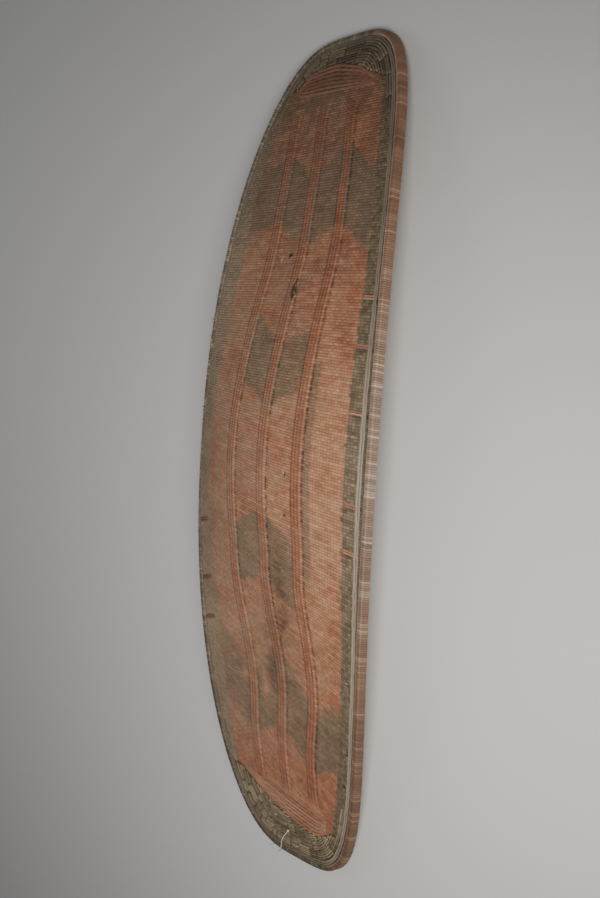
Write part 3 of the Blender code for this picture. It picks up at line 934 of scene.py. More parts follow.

# %% Pattern: furrows beside the ribs, and a grey strip
# Place and width of each furrow in the rib coordinate, and how strong it is at each of the three ribs.
# A furrow is sunk in the relief and darkened with painted shade.
FURROWS = ((1.14, 0.19, (0.7, 0.8, 1.0)), (-1.12, 0.12, (0.2, 0.3, 0.2)))
GREY_STRIP = 0.8  # how grey the weave is beside the right rib at mid length, where it has lost its dye
GREY_FROM, GREY_TO = 1.1, 2.9  # the strip's two sides in the rib coordinate
GREY_MIDDLE, GREY_REACH, GREY_FADE = -0.02, 0.19, 0.06  # its middle, half length and fade along the shield
RIB_COVER = 0.85  # how much of the olive the red of a rib hides


def furrow_share():
    """How far each crossing lies in a furrow beside a rib."""
    return rib_fade * sum(np.exp(-((rib_across - place) / width) ** 2) * np.array(strengths)[rib_number]
                          for place, width, strengths in FURROWS)


def grey_share():
    """How grey each crossing has gone beside the right rib."""
    across = ramp(rib_across, GREY_FROM, 0.15) * smooth_step((GREY_TO - rib_across) / 0.5)
    along = smooth_step((GREY_REACH - np.abs(weft_y - GREY_MIDDLE)) / GREY_FADE)
    return GREY_STRIP * across * along * (rib_number == 2)


rib_furrow = furrow_share()
olive_dye = np.maximum(olive_share(), grey_share()) * (1 - RIB_COVER * rib_red) * (1 - border)
print("olive covers", f"{float((olive_dye > 0.5).mean()):.0%}", "of the mesh points")

# %% [markdown]
# ## Wear
#
# Old wickerwork is never even. The crests of the weft have lost their dye where hands and the wall have
# rubbed them, most of all on the swollen middle. There are worn-through places and small holes, which are
# painted black as shade. Each is listed once, by its place on the shield, and both the relief and the
# colour read the list. Painted shade also lies in the hollows beside the ribs, strands, bars and rim.

# %% Wear: places
# Small pits, painted dark by their depth as shade: place across, place along, size across, size along, depth,
# all in metres
PITS = (
    (-0.0181, 0.2903, 0.0030, 0.0022, 0.0030),
    (-0.0215, 0.2880, 0.0022, 0.0030, 0.0022),
    (0.0105, 0.2515, 0.0026, 0.0030, 0.0030),
    (0.0125, -0.0794, 0.0016, 0.0022, 0.0025),
    (0.0122, -0.0625, 0.0014, 0.0016, 0.0020),
    (0.0123, -0.0524, 0.0014, 0.0014, 0.0020),
    (0.0515, -0.0857, 0.0026, 0.0026, 0.0022),
    (0.0490, -0.0920, 0.0016, 0.0020, 0.0018),
    (0.0523, -0.0272, 0.0018, 0.0036, 0.0026),
    (0.0169, 0.0455, 0.0016, 0.0014, 0.0018),
    (-0.0658, 0.0755, 0.0018, 0.0016, 0.0018),
    (-0.0670, 0.0960, 0.0014, 0.0030, 0.0016),
    (0.1212, 0.0655, 0.0014, 0.0012, 0.0018),
    (0.1371, -0.1583, 0.0014, 0.0012, 0.0018),
    (0.0853, -0.3070, 0.0016, 0.0090, 0.0022),
    (0.1759, 0.2155, 0.0024, 0.0018, 0.0025),
    (0.1576, -0.3072, 0.0022, 0.0020, 0.0028),
    (0.1474, -0.4087, 0.0022, 0.0040, 0.0030),
    (0.1342, -0.4619, 0.0024, 0.0030, 0.0030),
    (0.1234, -0.5098, 0.0030, 0.0034, 0.0030),
)
PIT_DARK = 0.0014  # depth over which a pit's painted shade turns black
PIT_CLEAN = 0.35  # share of that depth that still looks like the cane round it
SLIT_X, SLIT_Y = 0.0087, 0.236  # middle of the worn slit beside the middle rib, which goes right through
SLIT_LENGTH = 0.027
SLIT_WIDTH = 0.0068
SLIT_TURN = math.radians(-4)
SLIT_LIP = 0.0022  # width of the sunken lip round the slit, painted black as shade
LIP_END, LIP_FADE = 1.15, 0.2  # where the lip ends along the slit, as shares of the slit's half length
CREASE = (0.073, -0.236, 0.006, 0.030, 0.0016)  # a dent along the right rib: place, size and depth


def spot(x, y, size_x, size_y):
    """1 at the middle of a spot on the shield, falling off softly round it."""
    return np.exp(-((weft_x - x) / size_x) ** 2 - ((weft_y - y) / size_y) ** 2)


def from_slit(x, y):
    """How far outside the slit a place lies, and its place along the slit as a share of its half length."""
    along = (y - SLIT_Y) * math.cos(SLIT_TURN) - (x - SLIT_X) * math.sin(SLIT_TURN)
    across = (x - SLIT_X) * math.cos(SLIT_TURN) + (y - SLIT_Y) * math.sin(SLIT_TURN)
    share = 2 * along / SLIT_LENGTH
    return np.abs(across) - SLIT_WIDTH / 2 * (1 - share ** 2), share


slit_gap, slit_share = from_slit(weft_x, weft_y)
slit_lip = smooth_step(1 - slit_gap / SLIT_LIP) * smooth_step((LIP_END - np.abs(slit_share)) / LIP_FADE)
pits = sum(depth * spot(x, y, size_x, size_y) for x, y, size_x, size_y, depth in PITS)
# Painted shade: pits go black with depth, and so does the slit's lip
pits_shade = np.maximum(pits / PIT_DARK - PIT_CLEAN, slit_lip)
crease = CREASE[4] * spot(*CREASE[:4])

# %% Wear: how much dye is rubbed off
WEAR_MIDDLE = -0.03  # the most worn place along the shield
WEAR_REACH = 0.46
WEAR_LEAST = 0.20  # how worn the field is all over
WEAR_MORE = 0.12  # how much more at the most worn place
WEAR_RIGHT = 0.34  # and how much more than that there on the right
WEAR_PATCHES = ((0.034, 31), (0.009, 32))  # size and seed of worn patches
PATCH_WEAR, STRAND_WEAR, ROW_WEAR = 0.20, 0.09, 0.07  # how much patches, strands and rows differ
# Bare tan places in the olive: place across and along, and size
BARE_PLACES = ((-0.024, -0.348, 0.011, 0.026), (-0.075, -0.345, 0.014, 0.008))
BARE_WEAR = 0.35
BARE_OLIVE = 0.8  # how much of the olive they have lost
# How much less worn the borders, the ribs, the upper end and the strip beside the right border are
BORDER_SPARED, RIB_SPARED, UPPER_SPARED, RIGHT_SPARED = 0.8, 0.5, 0.12, 0.2
RIB_FADING = 0.6  # how much of their red the ribs have lost in places


def worn_share(bare):
    """How much of its dye each place of the weave has lost."""
    bell = smooth_step(1 - np.abs(weft_y - WEAR_MIDDLE) / WEAR_REACH)
    right = smooth_step(line_at / 2 + 0.3)
    patches = sum(PATCH_WEAR * soft_noise(size, seed) for size, seed in WEAR_PATCHES)
    strands = STRAND_WEAR * strand_noise(33) + ROW_WEAR * strand_noise(34, blocks=False)
    lost = WEAR_LEAST + WEAR_MORE * bell + WEAR_RIGHT * bell * right + patches + strands
    lost = np.clip(lost, 0, 1) * (1 - BORDER_SPARED * border)
    lost = lost * (1 - RIB_SPARED * smooth_step(1.6 - np.abs(rib_across)) * rib_fade) + BARE_WEAR * bare
    lost = lost - UPPER_SPARED * ramp(weft_y, 0.35, 0.2)
    return lost - RIGHT_SPARED * ramp(line_at, 1.4, 0.5)


bare_places = np.clip(sum(spot(*place) for place in BARE_PLACES), 0, 1)
worn = worn_share(bare_places)
olive = olive_dye * (1 - BARE_OLIVE * bare_places)
rib = rib_red * (1 - RIB_FADING * smooth_step(soft_noise(0.030, 38)))
print("mean wear:", round(float(worn.mean()), 3))

# %% Wear: dull and dusty places
DULL_UPPER = 0.76  # how dull and brown the dye is at the upper end
DULL_LESS = 0.22  # how much less it is there on the right
DULL_PLACE = (0.010, -0.30, 0.065, 0.085)  # a duller, browner place: across and along, and its size
DULL_THERE = 0.65
DULL_PATCHES = 0.18
LINE_DUST = (0.50, 0.32, 0.24, 0.0, 0.0)  # how much pale dust lies on the weave at each of the five lines
DUST_PATCHES = 0.20
OLIVE_CLEAN = 0.55  # how much less the dust shows on olive
BORDER_DUST = 0.28  # dust on the left border


def dull_share():
    """How dull and brown the dye has gone."""
    upper = DULL_UPPER - DULL_LESS * ramp(line_at, 0.8, 0.5)
    found = upper * ramp(weft_y, 0.18, 0.36) + DULL_THERE * spot(*DULL_PLACE)
    return np.clip(found + DULL_PATCHES * soft_noise(0.022, 35), 0, 1)


def dust_share():
    """How much pale dust lies on each place of the weave."""
    found = np.interp(line_at, LINES, LINE_DUST) + DUST_PATCHES * soft_noise(0.016, 36)
    found = np.clip(found, 0, 1) * smooth_step((0.62 - weft_y) / 0.5) * smooth_step((weft_y + 0.60) / 0.25)
    return found * (1 - OLIVE_CLEAN * olive) + BORDER_DUST * border * (line_at < -1.5) * (1 - end_share)


dull = dull_share()
dust = dust_share()

# %% Wear: dark places, mostly painted shade
# Darker patches of the weave: place across and along, size across and along, and how dark
DARKER_PATCHES = (
    (0.031, -0.175, 0.016, 0.050, 0.42),
    (-0.003, -0.325, 0.013, 0.026, 0.42),
    (0.026, -0.247, 0.012, 0.030, 0.35),
    (0.010, -0.270, 0.050, 0.070, 0.22),
    (-0.120, -0.350, 0.020, 0.050, 0.20),
    (0.040, 0.135, 0.014, 0.040, 0.20),
)
# Gaps across the right border with painted shadow, beside the short canes that mend it: place across and
# along
BAR_PLACES = ((0.1759, 0.2155), (0.1692, 0.1491), (0.1726, 0.0607), (0.1696, -0.0631), (0.1650, -0.1259))
BAR_SHADOW = (0.014, 0.0042)  # size of such a gap across and along
# Painted shade: how dark the weave is in those gaps, under the end strands, under the red ones and between a
# rib's cords
IN_GAPS, UNDER_STRANDS, UNDER_RED, BETWEEN_CORDS = 0.75, 0.75, 0.5, 0.35
RIM_SHADOW = 0.7  # how dark the painted shadow beside the rim is
SHADOW_REACH, SHADOW_FADE = 0.004, 0.003  # how far that reaches
FLECKS = 0.9  # how black the small flecks of painted shadow in the furrows are
FLECKS_FROM, FLECKS_FADE = 0.45, 0.2  # which strands have one: those above this, among values from -1 to 1
FLECKS_REACH = 0.30  # how far from the shield's middle they reach


def hole_shade_share():
    """How black each crossing is painted as shade: pits by their depth, the slit's lip, and flecks in the
    furrows beside the ribs.
    """
    flecks = FLECKS * rib_furrow * smooth_step((strand_noise(45) - FLECKS_FROM) / FLECKS_FADE)
    flecks = flecks * smooth_step((FLECKS_REACH - np.abs(weft_y)) / 0.1)
    return np.clip(np.maximum(pits_shade, flecks), 0, 1)


def soil_and_shade_share():
    """How much painted shade lies in the hollows: in the furrows, between a rib's cords, under the end and
    red strands, in the gaps by the bars and beside the rim, with the darker patches on top.
    """
    cord_lines = 1 - np.abs(np.cos(1.5 * math.pi * np.clip(rib_across, -1, 1)))  # 1 between a rib's cords
    beads = rib_furrow * (0.5 + 0.5 * strand_noise(37))
    beads = beads + BETWEEN_CORDS * cord_lines * rib_fade * (np.abs(rib_across) < 1)
    darker = sum(dark * spot(*patch) for *patch, dark in DARKER_PATCHES) * (1 + 0.5 * strand_noise(40))
    gaps = sum(spot(x, y, *BAR_SHADOW) for x, y in BAR_PLACES)
    by_rim = smooth_step((RIM_WIDTH + SHADOW_REACH - edge_distance) / SHADOW_FADE)
    found = beads + darker + UNDER_RED * fan + IN_GAPS * gaps + UNDER_STRANDS * border * end_share
    return np.clip(found + RIM_SHADOW * by_rim, 0, 1)


hole_shade = hole_shade_share()
soil_and_shade = soil_and_shade_share()
print("black mesh points:", int((hole_shade > 0.5).sum()), "of", hole_shade.size)

# %% [markdown]
# ## The woven panel
#
# The field, the ribs and the borders are one piece of weaving, and its relief is modelled as mesh. Adding
# and shaping primitives suits a few solid things, not more than twenty thousand crossings of cane, so the
# panel is computed: a grid of points, with two columns to a warp in the field and three rows to a row of
# weft, lifted and lowered as the strands cross. The back is the same grid seen from behind, and walls
# close it at its edge and round its holes.

# %% Relief
ROW_GROOVE = 0.00030  # depth of the groove between two rows of weft
ROW_CREST = 0.00012
BEAD = 0.00014  # how far a strand rises over a warp, and sinks under the next one
UNEVEN = 0.00012  # how much one strand stands above or below its neighbours
SWELL = 0.0006  # slow waves of the whole weave
RIB_CORDS = 0.0007  # depth of the lines along a rib, between its three cords
RIB_TICKS = 0.6  # how much of the rows' grooves shows across a rib
BORDER_ROUGH = 0.0004  # how uneven the worn borders are
FURROW = 0.0007
EDGE_DIVE = 0.0036  # how far the weave's edge dives, to run in under the rim's binding
DIVE_FROM, DIVE_OVER = 0.0109, 0.0017
SUNK_ENDS = 0.0005  # how much deeper the weave lies under the coarse end strands
CALM_ENDS = 0.8  # how much of the rows' own relief is lost there
LIP_DEPTH = 0.0012  # how deep the lip of the slit sinks
CREST_FLANK = 0.3  # share of a rib's half width over which its side rises
CORD_POWER = 0.7  # below 1, a rib's cords are broad and the lines between them narrow
BAND_PARTS = (0.0, 0.30, 0.52, 0.74, 1.0)  # where the four bands of the mesh meet, as shares of all rows
band_seams = [round(share * (mesh_rows - 1) / ROW_STEP) * ROW_STEP for share in BAND_PARTS]


def weave_relief():
    """How far each crossing stands above the smooth panel: for the front, and for the back."""
    every_row = np.arange(mesh_rows)
    groove = (every_row % ROW_STEP == 0) & ~np.isin(every_row, band_seams)  # flat where two bands meet
    groove = groove[:, None]
    whole_warp = np.abs(column_warp - np.round(column_warp)) < 1e-6
    over = np.where((row_number[:, None] + np.round(column_warp).astype(int)) % 2 == 0, 1.0, -1.0)
    bead = BEAD * over * whole_warp * (1 - rib)
    rough = BORDER_ROUGH * border * (strand_noise(44) - 0.5)
    rows = np.where(groove, -ROW_GROOVE, ROW_CREST + bead + UNEVEN * strand_noise(41)) + rough
    rows = rows * (1 - (1 - RIB_TICKS) * rib)
    swell = SWELL * soft_noise(0.05, 42) * (1 - rib)
    inside = np.clip(rib_across, -1, 1)
    crest = smooth_step((1 - np.abs(inside)) / CREST_FLANK)
    cords = RIB_CORDS * np.abs(np.cos(1.5 * math.pi * inside)) ** CORD_POWER * crest
    raised = rib_fade * ((RIB_HEIGHT - RIB_CORDS - ROW_CREST - UNEVEN) * crest + cords)
    calm = 1 - border * end_share * CALM_ENDS
    front = (rows + swell) * calm + raised - FURROW * rib_furrow - pits - crease - LIP_DEPTH * slit_lip
    front = front - EDGE_DIVE * smooth_step((DIVE_FROM - edge_distance) / DIVE_OVER)
    front = front - SUNK_ENDS * border * end_share
    back = np.where(groove, -ROW_GROOVE, ROW_CREST - bead + UNEVEN * strand_noise(43)) - swell
    return front, back


front_relief, back_relief = weave_relief()
front_z = front_height(weft_x, weft_y) + front_relief
back_z = front_height(weft_x, weft_y) - PANEL_THICKNESS - back_relief

# %% Cells that are left out
def slit_cells():
    """The cells of the grid that the worn slit takes away."""
    middle_x, middle_y = ((grid[:-1, :-1] + grid[1:, 1:]) / 2 for grid in (weft_x, weft_y))
    gap, share = from_slit(middle_x, middle_y)
    return (gap < 0) & (np.abs(share) < 1)


missing = slit_cells()
print("cells taken out for the slit:", int(missing.sum()))

# %% One band of the weave as a closed mesh
def merge_past_ends(points_per_side):
    """For each grid point, the point that stands for it: those past an end are one point per column."""
    index = np.arange(points_per_side).reshape(mesh_rows, column_count)
    rows = np.arange(mesh_rows)[:, None]
    first_past_top = np.where(past_top.any(axis=0), np.argmax(past_top, axis=0), mesh_rows - 1)
    last_past_low = np.where(past_low.any(axis=0), mesh_rows - 1 - np.argmax(past_low[::-1], axis=0), 0)
    return index[np.clip(rows, last_past_low, first_past_top), np.arange(column_count)]


stand_in = merge_past_ends(weft_x.size)


def band_faces(first_row, last_row):
    """The front faces between two mesh rows, without empty ones."""
    here, after = stand_in[first_row:last_row], stand_in[first_row + 1:last_row + 1]
    cells = np.stack([here[:, :-1], here[:, 1:], after[:, 1:], after[:, :-1]], axis=-1)
    cells = cells[~missing[first_row:last_row]]
    faces = []
    for cell in cells.tolist():
        face = [corner for place, corner in enumerate(cell) if corner != cell[place - 1]]
        if len(face) > 2:
            faces.append(face)
    return faces


def make_band(name, first_row, last_row, material):
    """One band of the panel: front, back, and walls wherever the front has an open edge."""
    front = band_faces(first_row, last_row)
    edges = {(a, b) for face in front for a, b in zip(face, face[1:] + face[:1])}
    used = sorted({corner for face in front for corner in face})
    new = {old: place for place, old in enumerate(used)}
    count = len(used)
    faces = [[new[corner] for corner in face] for face in front]
    faces += [[count + new[corner] for corner in reversed(face)] for face in front]
    walls = [(new[b], new[a]) for a, b in edges if (b, a) not in edges]
    faces += [[a, b, count + b, count + a] for a, b in sorted(walls)]
    x, y, front_up, back_up = (grid.ravel()[used] for grid in (weft_x, weft_y, front_z, back_z))
    points = np.concatenate([np.column_stack([x, y, front_up]), np.column_stack([x, y, back_up])])
    strand = np.column_stack([np.broadcast_to(column_warp, weft_x.shape).ravel()[used],
                              np.repeat(weft_row, column_count)[used]])
    strand = np.concatenate([strand, strand])
    corners = strand[[corner for face in faces for corner in face]]
    looks = {"olive": olive, "border": border, "rib": rib, "worn": worn, "soil_and_shade": soil_and_shade, "hole_shade": hole_shade,
             "dull": dull, "dust": dust}
    values = {label: np.tile(grid.ravel()[used], 2) for label, grid in looks.items()}
    values["behind"] = np.repeat([0.0, 1.0], count)
    return make_piece(name, points, faces, material, corners, values, crease=70)

# %% [markdown]
# ### The finish of the weave
#
# The coordinates on the mesh count strands: the whole numbers of the first are warps, those of the second
# are the grooves between rows. So the material can find one strand, give it a tone of its own, paint shade
# into the grooves and a highlight where a strand crosses over a warp, and rub the crests pale. What differs
# from place to place, such as dye, wear and the painted shade of hollows and holes, comes from values on the
# mesh.

# %% Colours of the cane
RED_DEEP = (0.27, 0.088, 0.048)
RED_LIGHT = (0.46, 0.175, 0.094)
WORN_TAN = (0.47, 0.236, 0.122)
WORN_PALE = (0.61, 0.345, 0.188)
OLIVE_DARK = (0.115, 0.090, 0.056)
OLIVE_LIGHT = (0.24, 0.185, 0.118)
BORDER_DARK = (0.095, 0.072, 0.041)
BORDER_LIGHT = (0.235, 0.178, 0.108)
RIB_DEEP = (0.26, 0.088, 0.046)
RIB_RED = (0.41, 0.160, 0.088)
DULL_BROWN = (0.19, 0.122, 0.076)
BACK_BROWN = (0.20, 0.115, 0.062)
# the black of the painted shade in pits, on the slit's lip and in the flecks
HOLE_SHADE_BLACK = (0.012, 0.008, 0.006)
DUSTY = (0.36, 0.265, 0.178)

# %% Weave: tones by strand
ROW_RUN, ROW_APART = 0.16, 7.3  # how fast a row's tone changes along it, and from row to row


def strand_cells(tree, lay):
    """Tones for blocks, crossings and rows, and nearness to crests, warps and top strands."""
    parts = add_node(tree, "ShaderNodeSeparateXYZ", {0: lay})
    warp, row = parts.outputs["X"], parts.outputs["Y"]
    warp_cell = calculate(tree, "FLOOR", calculate(tree, "ADD", warp, 0.5))
    row_cell = calculate(tree, "FLOOR", row)
    shifted = calculate(tree, "FRACT", times(tree, row_cell, ROW_SHIFT))
    blocks = calculate(tree, "ADD", calculate(tree, "DIVIDE", warp, float(BLOCK_WARPS)), shifted)
    tone = random_tone(tree, calculate(tree, "FLOOR", blocks), row_cell)
    speck = random_tone(tree, warp_cell, row_cell)
    run = add_node(tree, "ShaderNodeCombineXYZ",
                   {0: times(tree, warp, ROW_RUN), 1: times(tree, row_cell, ROW_APART)}).outputs[0]
    row_tone = remap(tree, noise(tree, run, 1.0, 2.0), 0.32, 0.68)
    parity = calculate(tree, "PINGPONG", calculate(tree, "ADD", warp_cell, row_cell), 1.0)
    off_warp = calculate(tree, "ABSOLUTE", calculate(tree, "SUBTRACT", warp, warp_cell))
    near_warp = remap(tree, off_warp, 0.5, 0.2)
    on_top = times(tree, calculate(tree, "SUBTRACT", 1.0, parity), near_warp)
    return tone, speck, row_tone, crest_share(tree, row, 0.22), near_warp, on_top

# %% Weave: dye
RIB_DYE = 0.8  # how strongly the ribs' own red covers the field's colour


def weave_dye(tree, mixed, speck):
    """The dyed cane's colour: field, olive bands, dull places, ribs and borders, one over the other."""
    dyed = blend(tree, mixed, RED_DEEP, RED_LIGHT)
    dyed = blend(tree, attribute(tree, "olive"), dyed, blend(tree, mixed, OLIVE_DARK, OLIVE_LIGHT))
    dyed = blend(tree, attribute(tree, "dull"), dyed, DULL_BROWN)
    on_rib = times(tree, attribute(tree, "rib"), RIB_DYE)
    dyed = blend(tree, on_rib, dyed, blend(tree, mixed, RIB_DEEP, RIB_RED))
    rough = total(tree, (speck, 0.5), (mixed, 0.5))
    return blend(tree, attribute(tree, "border"), dyed, blend(tree, rough, BORDER_DARK, BORDER_LIGHT))

# %% Weave: material
RIBS_KEEP, OLIVE_KEEPS = 0.45, 0.30  # how much of the wear shows on the ribs and on olive
BACK_DULL = 0.55  # how far the back has gone to one brown
BACK_CLEAN = 0.15  # how much of the front's dirt, painted shade and black holes shows on the back


def build_weave():
    material, tree, shader, lay, place = start_material("dyed wickerwork")
    tone, speck, row_tone, crest, near_warp, on_top = strand_cells(tree, lay)
    streaks, slow = use_fibres(tree, lay, 0.8)
    mixed = total(tree, (tone, 0.25), (speck, 0.15), (row_tone, 0.3), (slow, 0.4))
    rubbed = total(tree, (attribute(tree, "worn"), 1.05), (tone, 0.12), (row_tone, 0.14), (speck, 0.10),
                   (on_top, 0.08), (crest, 0.16), (streaks, 0.3), -0.46)
    kept = times(tree, remap(tree, attribute(tree, "rib"), 0.0, 1.0, 1.0, RIBS_KEEP),
                 remap(tree, attribute(tree, "olive"), 0.0, 1.0, 1.0, OLIVE_KEEPS))
    rubbed = times(tree, rubbed, kept, clamp=True)
    colour = blend(tree, rubbed, weave_dye(tree, mixed, speck), blend(tree, row_tone, WORN_TAN, WORN_PALE))
    colour = blend(tree, attribute(tree, "dust"), colour, DUSTY)
    # Painted shade in the grooves between rows and between warps, and a painted highlight where a strand
    # crosses over a warp, on top of the fibres' streaks and random specks
    shade = times(tree, remap(tree, streaks, 0.3, 0.7, 0.86, 1.08), remap(tree, crest, 0.0, 0.8, 0.70, 0.98),
                  total(tree, (near_warp, 0.11), (on_top, 0.06), (speck, 0.15), 0.76))
    colour = darken(tree, colour, shade)
    colour = blend(tree, times(tree, attribute(tree, "behind"), BACK_DULL), colour, BACK_BROWN)
    in_front = remap(tree, attribute(tree, "behind"), 0.0, 1.0, 1.0, BACK_CLEAN)
    # The painted shade of the hollows and of the holes, mostly left off the back
    soiled_and_shaded, hole_shaded = (times(tree, attribute(tree, name), in_front) for name in ("soil_and_shade", "hole_shade"))
    colour, dirt = use_grime_and_shade(tree, colour, place, 0.30, soiled_and_shaded)
    colour = blend(tree, hole_shaded, colour, HOLE_SHADE_BLACK)
    rough = calculate(tree, "MAXIMUM", remap(tree, rubbed, 0.0, 1.0, 0.72, 0.56), times(tree, dirt, 0.85))
    rounded = bump(tree, crest, 0.0004, 0.6)
    finish_material(tree, shader, colour, rough, bump(tree, streaks, 0.00025, 0.7, rounded))
    return material


dyed_wickerwork = build_weave()

# %% Weave: the four bands of the panel
def make_weave():
    names = ("weave_lower_end", "weave_below_middle", "weave_above_middle", "weave_upper_end")
    return [make_band(name, first, last, dyed_wickerwork)
            for name, first, last in zip(names, band_seams, band_seams[1:])]


weave = make_weave()
for band in weave:
    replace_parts(band, "woven_panel")

# %% [markdown]
# ## The bound rim
#
# The hoop is three canes, one above the other, bound together with split cane that winds round and round
# them. A bevelled curve would give a smooth hoop. Here the section is swept as a screw instead: each ring
# of points starts a little further on than the one before, so the grooves between the turns slant as real
# binding does.

# %% Rim: section
RIM_RODS = 3
RIM_GROOVE = 0.0003  # how far the binding sinks between two canes
WRAP_PITCH = 0.0032  # length of rim to a turn of the binding
WRAP_STEP = 3  # rings of points to a turn of the binding
WRAP_DEPTH = 0.00055  # depth of the groove between two turns
WRAP_UNEVEN = 0.00025  # how much deeper one turn can lie than another


def arc(middle_out, middle_up, radius, *degrees, seam=0):
    """Points on a round corner of the section."""
    turns = [math.radians(turn) for turn in degrees]
    return [(middle_out + radius * math.cos(turn), middle_up + radius * math.sin(turn), seam)
            for turn in turns]


def rim_section():
    """The section as (outward, up, seam), starting underneath: three canes outside, a plain rounded inside.

    The seam value is 1 between two canes, where shade is painted, and -1 on the inner corner beside the
    weave, where light is painted."""
    rod = RIM_DEPTH / RIM_RODS
    corner = rod / 2
    out, top = RIM_WIDTH / 2, RIM_DEPTH / 2
    section = arc(out - corner, corner - top, corner, -90, -60, -30)
    for index in range(RIM_RODS):
        section.append((out, -top + rod * (index + 0.5), 0))
        if index < RIM_RODS - 1:
            seam = -top + rod * (index + 1)
            section += [(out - 0.3 * RIM_GROOVE, seam - rod / 4, 0), (out - RIM_GROOVE, seam, 1),
                        (out - 0.3 * RIM_GROOVE, seam + rod / 4, 0)]
    section += arc(out - corner, top - corner, corner, 30, 60, 90)
    section.append((0.0, top - 0.35 * RIM_GROOVE, 0))
    # The inner top corner is marked -1, where painted light makes it pale
    section += arc(corner - out, top - corner, corner, 90, 135, 180, seam=-1)
    section.append((-out, 0.0, 0))
    section += arc(corner - out, corner - top, corner, 180, 225, 270)
    return np.array(section)

# %% Rim: mesh
RIM_GREY_FROM, RIM_GREY_TO = 0.50, 0.20  # the rim turns grey where it looks less to the right than this
RIM_ORANGE_FROM, RIM_ORANGE_TO = 0.02, 0.36  # distances from the middle between which the rim turns orange


def make_rim(material):
    section = rim_section()
    sides = len(section)
    ahead = directions(section[:, :2], closed=True)
    outward = np.stack([ahead[:, 1], -ahead[:, 0]], axis=1)
    turns = round(outline.length / WRAP_PITCH)
    rings = turns * WRAP_STEP
    ring = np.arange(rings)[:, None]
    side = np.arange(sides)[None, :]
    travelled = (ring + WRAP_STEP * side / sides) * outline.length / rings
    places, normals = outline.at(travelled)
    uneven = WRAP_UNEVEN * np.random.default_rng(51).uniform(-1, 0, turns)[ring // WRAP_STEP]
    sunk = np.where(ring % WRAP_STEP == 0, WRAP_DEPTH, 0.0) - uneven
    out = section[:, 0] - sunk * outward[:, 0]
    up = section[:, 1] - sunk * outward[:, 1]
    flat = places + normals * (out - RIM_WIDTH / 2)[..., None]
    height = edge_height(flat[..., 1]) + RIM_PROUD - RIM_DEPTH / 2 + up
    points = np.concatenate([flat, np.maximum(height, 0.0)[..., None]], axis=-1).reshape(-1, 3)
    faces, corners = [], []
    for first in range(rings):
        for corner in range(sides):
            neighbour = (corner + 1) % sides
            shift = WRAP_STEP if neighbour == 0 else 0
            a, b = first, (first + 1) % rings
            c, d = (first + 1 + shift) % rings, (first + shift) % rings
            faces.append((a * sides + corner, b * sides + corner,
                          c * sides + neighbour, d * sides + neighbour))
            low, high = corner / sides, (corner + 1) / sides
            here, there = first / WRAP_STEP, (first + 1) / WRAP_STEP
            corners += [(low, here), (low, there), (high, there), (high, here)]
    grey = smooth_step((RIM_GREY_FROM - normals[..., 0]) / (RIM_GREY_FROM - RIM_GREY_TO))
    orange = smooth_step((np.abs(flat[..., 1]) - RIM_ORANGE_FROM) / (RIM_ORANGE_TO - RIM_ORANGE_FROM))
    seam = np.broadcast_to(section[:, 2], grey.shape)
    values = {"grey": grey.ravel(), "orange": orange.ravel(), "seam": seam.ravel()}
    rim = make_piece("rim_binding", points, faces, material, corners, values, crease=60)
    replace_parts(rim, "rim_hoop")
    print("turns of binding:", turns)

# %% Rim: material
# The tan and rose of the rim's middle are partly painted sheen: paler and greyer than the orange of the ends
RIM_TAN = (0.38, 0.255, 0.172)
RIM_PALE_AND_LIT = (0.52, 0.42, 0.325)
RIM_ROSE = (0.25, 0.168, 0.122)
RIM_RUST = (0.22, 0.116, 0.070)
RIM_ORANGE = (0.36, 0.174, 0.084)
RIM_GREY_DARK = (0.13, 0.100, 0.064)
RIM_GREY_LIGHT = (0.34, 0.27, 0.19)
PALE_AND_HIGHLIT_TURNS = (0.55, 0.95)  # tones between which a turn of the binding is painted pale, partly as lighter cane and partly as a painted highlight
HIGHLIT_TURNS = (0.85, 0.95, 1.3)  # tones from and to which single turns get a painted highlight, and how much brighter they are
RIM_LOWER_SHADE = (-0.45, 0.08, 0.56, 0.95)  # painted shade towards the lower end: where along the shield the rim gets lighter, and from what to what


